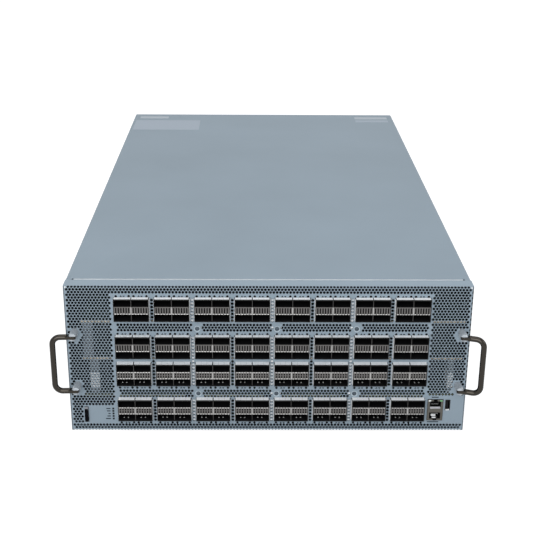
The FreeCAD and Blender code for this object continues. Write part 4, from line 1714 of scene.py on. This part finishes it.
@dataclass
class BailHandle:
    """A bent round rod with flattened, bored ends."""

    body: str
    side: float
    angle: float
    pivot_y: float = FRONT - 14.4
    reach: float = 22.1
    rod_radius: float = 3.175
    bend_radius: float = 8.5
    tongue: float = 6.4
    tongue_thick: float = 3.4
    tongue_root: float = 1.5
    tongue_sides: int = 32
    bore: float = 1.55
    bore_length: float = 12.0
    sides: int = 24
    bend_steps: int = 9
    merge: float = 0.01

    def rod(self) -> Obj:
        """The rod, drawn out and spun round its two bends.

        Returns:
            The rod, with its pivot at the origin.
        """
        low, high = POST_HEIGHTS
        turn = self.bend_radius
        straight = self.reach - turn - self.tongue
        rod = added(
            bpy.ops.mesh.primitive_circle_add,
            vertices=self.sides,
            radius=self.rod_radius * MM,
            fill_type="NGON",
            location=metres((self.tongue, 0, high)),
            rotation=TURNS[Axis.X],
        )
        with editing(rod):
            pick_all()
            draw_out((straight, 0, 0))
            self.swing(high - turn)
            draw_out((0, 0, -(high - low - 2 * turn)))
            self.swing(low + turn)
            draw_out((-straight, 0, 0))
            pick_all()
            bpy.ops.mesh.remove_doubles(threshold=self.merge * MM)
            outwards()
        return rod

    def swing(self, height: float) -> None:
        """Spin the selected end round a bend whose middle is at a height."""
        middle = metres((self.reach - self.bend_radius, 0, height))
        bpy.ops.mesh.spin(steps=self.bend_steps, angle=-math.pi / 2, center=middle, axis=Axis.Y.value)

    def build(self) -> None:
        """Make the handle at its rest angle and dress it."""
        handle = self.rod()
        for z in POST_HEIGHTS:
            length = (0, self.tongue + self.tongue_root)
            flat = block(length, centred(0, 2 * self.rod_radius), centred(z, self.tongue_thick))
            tip = drum(self.rod_radius, (0, 0, z), Axis.Z, self.tongue_thick, self.tongue_sides)
            carve(flat, tip, Carving.ADD)
            carve(handle, flat, Carving.ADD)
            carve(handle, drum(self.bore, (0, 0, z), Axis.Z, self.bore_length, self.sides))
        handle.data.transform(Matrix.Rotation(math.radians(-self.angle), 4, "Z"))
        if self.side < 0:
            mirrored_x(handle)
        handle.data.transform(Matrix.Translation(metres((self.side * POST_X, self.pivot_y, 0))))
        place(handle, f"{self.body}_rod", ROD_WITH_PAINTED_REFLECTION, self.body, stands_for=[self.body])


@dataclass
class StatusCorner:
    """The tag's grey end, and plain printed bars beside the lamps and by the jacks."""

    bar_height: float = 1.25
    bar_depth: Limits = (FRONT - 0.05, FRONT + 0.1)
    lamp_bars: tuple[float, ...] = (-180.0, -179.4, -178.0, -179.2, -181.0)
    lamp_bars_end: float = -175.4
    jack_bars: tuple[tuple[float, float, float], ...] = ((182.3, 190.0, 42.1), (178.6, 191.4, 11.1))
    end_x: Limits = (-203.9, -200.1)
    end_y: Limits = (FRONT - 2.6, FRONT - 0.5)
    end_z: Limits = (25.4, 30.05)
    end_edge: float = 0.5

    def bars(self) -> Obj:
        """The printed bars.

        Returns:
            All in one piece.
        """
        spots = [(left, self.lamp_bars_end, z) for left, z in zip(self.lamp_bars, STATUS_HEIGHTS)]
        bars = []
        for left, right, z in (*spots, *self.jack_bars):
            bar = block((left, right), self.bar_depth, centred(z, self.bar_height))
            bars.append(bevel(bar, edges(Axis.Y)))
        return joined(bars)

    def build(self) -> None:
        """The bars and the grey end of the tag."""
        place(self.bars(), "status_marks", INK)
        end = block(self.end_x, self.end_y, self.end_z)
        bevel(end, edges(before=self.end_y[0] + TOUCH), self.end_edge)
        place(end, "tag_end", GREY_END, "info_tag")


@dataclass
class ServiceCorner:
    """Lamps, contacts and springs of the network jacks and the service port."""

    face: float = FRONT - 1.0
    lamp_size: Limits = (3.0, 1.9)
    lamp_depth: Limits = (-0.15, 2.0)
    lamp_edge: float = 0.25
    lamp_inset: float = 2.2
    lamp_z: float = 38.1
    wire_first: float = -3.57
    wire_step: float = 1.02
    wire_count: int = 8
    wire_size: Limits = (0.45, 0.5)
    wire_depth: Limits = (FRONT + 2, FRONT + 14.5)
    wire_edge: float = 0.12
    wire_heights: Limits = (32.4, 20.2)
    plate_depth: float = 2.0
    jack_lip: Plate = ((180.9, 192.5), 1.2, (28.2, 30.1))
    upper_tongue: Plate = ((182.8, 187.9), -1.2, (17.7, 19.6))
    lower_tongue: Plate = ((183.9, 188.4), -1.2, (14.9, 16.2))
    service_lip: Plate = ((198.4, 202.4), 0.9, (25.9, 26.9))
    service_tongue: Plate = ((200.1, 201.3), -0.8, (28.4, 37.6))

    def lamp(self, x: float) -> Obj:
        """One lamp in a corner of the upper jack.

        Args:
            x: Its middle across.

        Returns:
            The lamp.
        """
        width, height = self.lamp_size
        depth = [self.face + shift for shift in self.lamp_depth]
        lamp = block(centred(x, width), depth, centred(self.lamp_z, height))
        return bevel(lamp, edges(before=self.face), self.lamp_edge)

    def plate(self, x: Limits, proud: float, z: Limits) -> Obj:
        """A small plate with rounded front edges.

        Args:
            x: Its limits across.
            proud: How far it stands out of the panel.
            z: Its limits up.

        Returns:
            The plate.
        """
        front = FRONT - proud
        return bevel(block(x, (front, front + self.plate_depth), z), edges(before=front + TOUCH))

    def wires(self, bottom: float) -> Obj:
        """The contact wires of a jack.

        Args:
            bottom: Their underside.

        Returns:
            The wires.
        """
        width, height = self.wire_size
        across = centred(sum(JACK_X) / 2 + self.wire_first, width)
        wire = block(across, self.wire_depth, (bottom, bottom + height))
        bevel(wire, edges(Axis.Y), self.wire_edge, steps=1)
        return repeat(wire, self.wire_count, (self.wire_step, 0, 0))

    def build(self) -> None:
        """Lamps, wires, lips and tongues."""
        left, right = grown(JACK_X, -self.lamp_inset)
        place(self.lamp(left), "jack_lamp_clear", CLEAR_LAMP)
        place(self.lamp(right), "jack_lamp_green", GREEN_LAMP)
        place(joined([self.wires(bottom) for bottom in self.wire_heights]), "jack_wires", STEEL)
        place(self.plate(*self.jack_lip), "jack_lip", DULL_TIN)
        tongues = [self.plate(*self.upper_tongue), self.plate(*self.lower_tongue)]
        place(joined(tongues), "jack_tongue", TIN)
        place(self.plate(*self.service_lip), "service_lip", TIN)
        place(self.plate(*self.service_tongue), "service_tongue", CONTACT)


# The top, sides and rear


@dataclass
class TopCover:
    """The folded cover, its front edge behind the seam with a painted highlight, and its blank labels."""

    start: float = FRONT + 19.7
    top: float = COVER_TOP - 0.1
    flange: float = 11.6
    fold: float = 2.0
    fold_steps: int = 4
    recess: float = 2.4
    recess_half: float = 211.5
    relief: Limits = (1.8, 4.4)
    cut_down: float = 3.0
    cut_over: float = 1.0
    label_sink: float = 0.05
    label_corner: float = 1.2
    labels: tuple[tuple[str, Limits, Limits, Finish], ...] = (
        ("rear_left_label", (-210, -162), (747, 761), LABEL_WHITE),
        ("large_left_label", (-215, -107), (670, 734), LABEL),
        ("rear_right_label", (155, 210), (746, 760), LABEL_WHITE),
        ("lower_right_label", (155, 210), (725, 738), LABEL),
    )

    def folded(self) -> Obj:
        """The sheet with its two sides folded down.

        Returns:
            The cover.
        """
        cover = block((-HALF_WIDTH, HALF_WIDTH), (self.start, REAR), (self.top - self.flange, self.top))

        def is_fold(middle: Vector, way: Vector) -> bool:
            """Whether an edge is one of the two upper ones along the sides."""
            return middle.z > self.top - TOUCH and abs(way.y) > ALIGNED

        bevel(cover, is_fold, self.fold, self.fold_steps)
        with editing(cover):
            pick(cover, Element.FACE, lambda middle, way: abs(way.y) > ALIGNED or way.z < -ALIGNED)
            bpy.ops.mesh.delete(type="FACE")
        for finish in (COVER_PAINT, EDGE):
            cover.data.materials.append(material_of(finish))
        modify(cover, "SOLIDIFY", thickness=SHEET * MM, offset=-1.0)
        return cover

    def notch(self, cover: Obj) -> None:
        """Set the front edge back behind the seam, with a relief at both ends.

        Args:
            cover: The folded cover.
        """
        width, depth = self.relief
        cuts = [(centred(0, 2 * self.recess_half), self.recess)]
        cuts += [(centred(side * (self.recess_half + width / 2), width), depth) for side in SIDES]
        up = (self.top - self.cut_down, self.top + self.cut_over)
        for x, back in cuts:
            carve(cover, block(x, (self.start - self.cut_over, self.start + back), up))
        # Front faces of the edge take the second slot, the painted highlight.
        for polygon in cover.data.polygons:
            is_edge = polygon.normal.y < -ALIGNED and abs(polygon.center.x) < self.recess_half * MM
            polygon.material_index = int(is_edge)

    def build(self) -> None:
        """The cover, with two plain labels on the left and two on the right."""
        cover = self.folded()
        self.notch(cover)
        place(cover, "cover_sheet", COVER_PAINT, stands_for=["top_cover"])
        for name, x, y, finish in self.labels:
            depth = [FRONT + value for value in y]
            label = block(x, depth, (self.top - self.label_sink, COVER_TOP))
            bevel(label, edges(Axis.Z), self.label_corner, ROUND_STEPS)
            place(label, name, finish)


@dataclass
class SideScrews:
    """Flush screws along the folded edges of the cover."""

    radius: float = 3.2
    depth: Limits = (219.9, 220.4)
    edge: float = 0.18
    cross: Limits = (2.8, 0.7)
    cross_depth: Limits = (220.1, 221.0)
    first: float = -300.0
    step: float = 150.0
    count: int = 5
    z: float = COVER_TOP - 6.0

    def head(self) -> Obj:
        """The first head with its cross, on the right side.

        Returns:
            The head.
        """
        root, face = self.depth
        spot = ((root + face) / 2, self.first, self.z)
        head = drum(self.radius, spot, Axis.X, face - root, ROUND_SIDES)
        bevel(head, lambda middle, way: middle.x > face - TOUCH, self.edge)
        for size_y, size_z in (self.cross, self.cross[::-1]):
            carve(head, block(self.cross_depth, centred(self.first, size_y), centred(self.z, size_z)))
        return head

    def build(self) -> None:
        """Rows on both sides."""
        right = repeat(self.head(), self.count, (0, self.step, 0))
        left = copied(right, (0, 0, 0))
        mirrored_x(left)
        place(joined([right, left]), "cover_screws", SCREW)


@dataclass
class FanModule:
    """One fan module: its rotor with swept blades, and the trim of its face."""

    index: int
    x: float
    middle_z: float = 107.6
    hub_radius: float = 21.0
    tip_radius: float = 55.0
    hub_near: float = REAR - 32.0
    hub_depth: float = 24.0
    hub_sides: int = 48
    hub_edge: float = 1.6
    bore: float = 2.55
    blades: int = 5
    blade_cells: int = 6
    blade_thick: float = 1.6
    root: float = 1.5
    pitch: Limits = (52.0, -22.0)
    chord: Limits = (25.0, 7.0)
    camber: float = 2.4
    flatten: float = 0.62
    sweep: float = 0.22
    corner: Point = (63.0, 57.0)
    lamp_rise: float = 44.0
    lamp: Triple = (1.6, 0.8, 0.4)

    @property
    def middle(self) -> Triple:
        """The middle of the hub."""
        return self.x, self.hub_near + self.hub_depth / 2, self.middle_z

    def hub(self) -> Obj:
        """The round hub with a rolled edge and its bore.

        Returns:
            The hub.
        """
        hub = drum(self.hub_radius, self.middle, Axis.Y, self.hub_depth, self.hub_sides)
        face = self.hub_near + self.hub_depth
        bevel(hub, edges(behind=face - TOUCH), self.hub_edge, ROUND_STEPS)
        carve(hub, drum(self.bore, self.middle, Axis.Y, 2 * self.hub_depth, ROUND_SIDES))
        return hub

    def blade(self, turn: float) -> Obj:
        """One swept and twisted blade, shaped from a flat grid.

        Args:
            turn: Where it is round the hub.

        Returns:
            The blade.
        """
        cells = self.blade_cells
        blade = added(bpy.ops.mesh.primitive_grid_add, x_subdivisions=cells, y_subdivisions=cells, size=1)
        for vert in blade.data.vertices:
            along, out = vert.co.x, vert.co.y + 0.5
            radius = self.hub_radius - self.root + out * (self.tip_radius - self.hub_radius + self.root)
            pitch = math.radians(self.pitch[0] + self.pitch[1] * out)
            chord = self.chord[0] + self.chord[1] * out
            camber = self.camber * (1 - 4 * along * along)
            lift = along * chord * math.sin(pitch) + camber * math.cos(pitch)
            across = along * chord * math.cos(pitch) - camber * math.sin(pitch)
            angle = turn + across / radius + self.sweep * out
            vert.co = metres((radius * math.sin(angle), lift * self.flatten, radius * math.cos(angle)))
        blade.data.transform(Matrix.Translation(metres(self.middle)))
        modify(blade, "SOLIDIFY", thickness=self.blade_thick * MM, offset=0.0)
        return blade

    def screws(self) -> Obj:
        """Four screws at the corners of the face.

        Returns:
            All in one piece.
        """
        style = PanelScrews(head_radius=3.2, head_rise=1.4, edge=0.6, cross_depth=0.8)
        across, up = self.corner
        corners = [(self.x + sx * across, self.middle_z + sz * up) for sx in SIDES for sz in SIDES]
        return at_places(style.head(corners[0], Facing.REAR, REAR), corners)

    def build(self) -> None:
        """The rotor, the screws and a lamp."""
        body = f"fan_{self.index}"
        node = f"{body}_rotor"
        blades = [self.blade(2 * math.pi * n / self.blades) for n in range(self.blades)]
        place(joined([self.hub()] + blades), f"{body}_blades", FAN, node, stands_for=[node])
        place(self.screws(), f"{body}_screws", SCREW, body)
        spot = (self.x + self.corner[0], REAR, self.middle_z + self.lamp_rise)
        place(round_lamp(spot, *self.lamp), f"{body}_lamp", LAMP, body)


@dataclass
class PowerSupply:
    """Trim of one power supply's face."""

    index: int
    x: float
    width: float = 73.5
    face: float = REAR + 2.0
    lamp_spot: Point = (44.0, 38.6)
    lamp: Triple = (1.3, 0.6, 0.35)
    lamp_step: float = 5.0
    screw: Point = (4.0, 6.0)

    def build(self) -> None:
        """Two lamps and the screw of the face."""
        body = f"supply_{self.index}"
        left = self.x - self.width / 2
        lamp = round_lamp((left + self.lamp_spot[0], self.face, self.lamp_spot[1]), *self.lamp)
        lamps = joined([lamp, copied(lamp, (self.lamp_step, 0, 0))])
        place(lamps, f"{body}_lamps", GREEN_LAMP, body)
        style = PanelScrews(2.2, 0.9, edge=0.5, cross=2.6, cross_width=0.6, cross_depth=0.6)
        screw = style.head((left + self.screw[0], self.screw[1]), Facing.REAR, self.face)
        place(screw, f"{body}_screw", SCREW, body)


NODE_GROUPS: tuple[tuple[Finish, tuple[str, ...]], ...] = (
    (PAINT, ("front_bezel",)),
    (TRAY, ("base_tray", "top_cover")),
    (ZINC, ("rear_frame", "bay_shelf", "fan_partitions", "supply_guides")),
    (BRACKET, ("side_brackets",)),
    (DULL_ZINC, ("board_spacers",)),
    (INSERT, ("cage_inserts",)),
    (DEEP, ("port_receptacles",)),
    (POST, ("handle_posts",)),
    (STEEL, ("handle_pins",)),
    (ROD_WITH_PAINTED_REFLECTION, ("left_bail", "right_bail")),
    (TAG, ("info_tag", "tag_sleeve")),
    (DARK_LAMP, ("status_lamps",)),
    (SHIELD, ("network_jack",)),
    (CONTACT, ("jack_contacts",)),
    (SHELL, ("service_port",)),
    (BOARD, ("service_board", "fan_board", "power_board", "upper_board", "main_board")),
    (LOWER_BOARD, ("lower_board",)),
    (CHIP, ("switch_chip",)),
    (ALLOY, ("heat_sink",)),
)
NODE_FINISHES = {node: finish for finish, nodes in NODE_GROUPS for node in nodes}
NODE_KINDS: dict[str, Finish] = {
    "panel_post": PALE,
    "port_cages": MOUTH,
    "carrier": ZINC,
    "frame": FAN,
    "rotor": FAN,
    "case": CASE,
    "face": BLACK,
    "latch": LATCH,
}


def dress_solids() -> None:
    """Give every solid its finish, by its name or by a word in it."""
    for name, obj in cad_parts.items():
        finish = NODE_FINISHES.get(name)
        if finish is None:
            finish = next(kind for word, kind in NODE_KINDS.items() if word in name)
        obj.data.materials.clear()
        obj.data.materials.append(material_of(finish))


# Stage


@dataclass(frozen=True)
class Softbox:
    """A soft square lamp: its place and aim in metres, its side and its power in watts."""

    name: str
    spot: Triple
    aim: Triple
    size: float
    power: float

    def build(self) -> None:
        """Hang the lamp and turn it to its aim."""
        data = bpy.data.lights.new(self.name, "AREA")
        data.size, data.energy = self.size, self.power
        lamp = bpy.data.objects.new(self.name, data)
        bpy.context.collection.objects.link(lamp)
        lamp.location = self.spot
        way = Vector(self.aim) - Vector(self.spot)
        lamp.rotation_euler = way.to_track_quat("-Z", "Y").to_euler()


@dataclass
class Studio:
    """White floor, soft light and the camera, in metres and degrees."""

    spot: Triple = (-0.0160, -1.4640, 0.6212)
    yaw: float = 0.708
    pitch: float = 21.471
    roll: float = 0.395
    lens: float = 73.78
    sensor: float = 36.0
    white: Colour = (1.0, 1.0, 1.0)
    sky: Colour = (0.93, 0.97, 1.0)
    sky_strength: float = 0.46
    floor_size: float = 14.0
    floor_level: float = -0.0005
    floor_grey: Colour = (0.5, 0.5, 0.5)
    floor_glow: float = 0.78
    lamps: tuple[Softbox, ...] = (
        Softbox("top_softbox", (0.0, -0.2, 2.4), (0, 0, 0.1), 2.2, 18.5),
        Softbox("front_softbox", (-0.6, -2.6, 1.0), (0, -0.3, 0.1), 1.8, 36),
        Softbox("right_softbox", (2.4, -1.0, 1.2), (0, 0, 0.1), 1.4, 12),
    )

    def camera(self) -> None:
        """The camera at the picture's angle."""
        yaw, pitch, roll = (math.radians(v) for v in (self.yaw, self.pitch, self.roll))
        ahead = Vector((math.sin(yaw) * math.cos(pitch), math.cos(yaw) * math.cos(pitch), -math.sin(pitch)))
        level = Vector((math.cos(yaw), -math.sin(yaw), 0))
        above = level.cross(ahead)
        right = level * math.cos(roll) + above * math.sin(roll)
        up = above * math.cos(roll) - level * math.sin(roll)
        data = bpy.data.cameras.new("camera")
        data.lens, data.sensor_width = self.lens, self.sensor
        camera = bpy.data.objects.new("camera", data)
        bpy.context.collection.objects.link(camera)
        turn = Matrix((right, up, -ahead)).transposed().to_4x4()
        camera.matrix_world = Matrix.Translation(self.spot) @ turn
        bpy.context.scene.camera = camera

    def seen(self, net: Net) -> Sock:
        """Tell the rays that see the background: from the camera, reflected or through something clear.

        Args:
            net: The nodes to add to.

        Returns:
            1 for those rays and 0 for the rest.
        """
        kinds = ("Is Camera Ray", "Is Glossy Ray", "Is Transmission Ray")
        camera, glossy, clear = (net.node("ShaderNodeLightPath", output=kind) for kind in kinds)
        return camera.larger(glossy).larger(clear)

    def world(self) -> None:
        """White where it is seen, softer where it lights."""
        world = bpy.data.worlds.new("studio")
        bpy.context.scene.world = world
        net = Net(world)
        light = net.node("ShaderNodeBackground", None, {0: self.sky, 1: self.sky_strength})
        back = net.node("ShaderNodeBackground", None, {0: self.white, 1: 1.0})
        net.end(net.node("ShaderNodeMixShader", None, {0: self.seen(net), 1: light, 2: back}))

    def floor(self) -> None:
        """A pale floor that keeps a faint shadow."""
        spot = (0, 0, self.floor_level)
        floor = added(bpy.ops.mesh.primitive_plane_add, size=self.floor_size, location=spot)
        floor.name = "floor"
        net = Net(bpy.data.materials.new("pale_floor"))
        diffuse = net.node("ShaderNodeBsdfDiffuse", None, {0: self.floor_grey})
        glow = net.node("ShaderNodeEmission", None, {0: self.white, 1: self.seen(net) * self.floor_glow})
        net.end(net.node("ShaderNodeAddShader", None, {0: diffuse, 1: glow}))
        floor.data.materials.append(net.owner)
        floor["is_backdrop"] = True

    def build(self) -> None:
        """Set the stage."""
        self.camera()
        self.world()
        self.floor()
        for lamp in self.lamps:
            lamp.build()
        bpy.context.scene.view_settings.view_transform = "Standard"


def main() -> None:
    """Build the switch's looks in order, set the stage and work out the sizes of the solids and the looks."""
    logging.basicConfig(level=logging.INFO)
    dress_solids()
    assemblies = [PiercedBezel(), PanelScrews(), CageInserts(), CageCollars(), PortTabs(), PortMarks()]
    assemblies.append(BailHandle("left_bail", side=-1.0, angle=2.5))
    assemblies.append(BailHandle("right_bail", side=1.0, angle=19.8))
    assemblies += [StatusCorner(), ServiceCorner(), TopCover(), SideScrews()]
    assemblies += [FanModule(index, x) for index, x in enumerate(FAN_X, 1)]
    assemblies += [PowerSupply(index, x) for index, x in enumerate(SUPPLY_X, 1)]
    for assembly in assemblies:
        assembly.build()
    Studio().build()
    boxes = {"cad": CAD_BOX, "visual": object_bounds()}
    {name: [list(corner) for corner in box] for name, box in boxes.items()}


if __name__ == "__main__":
    main()
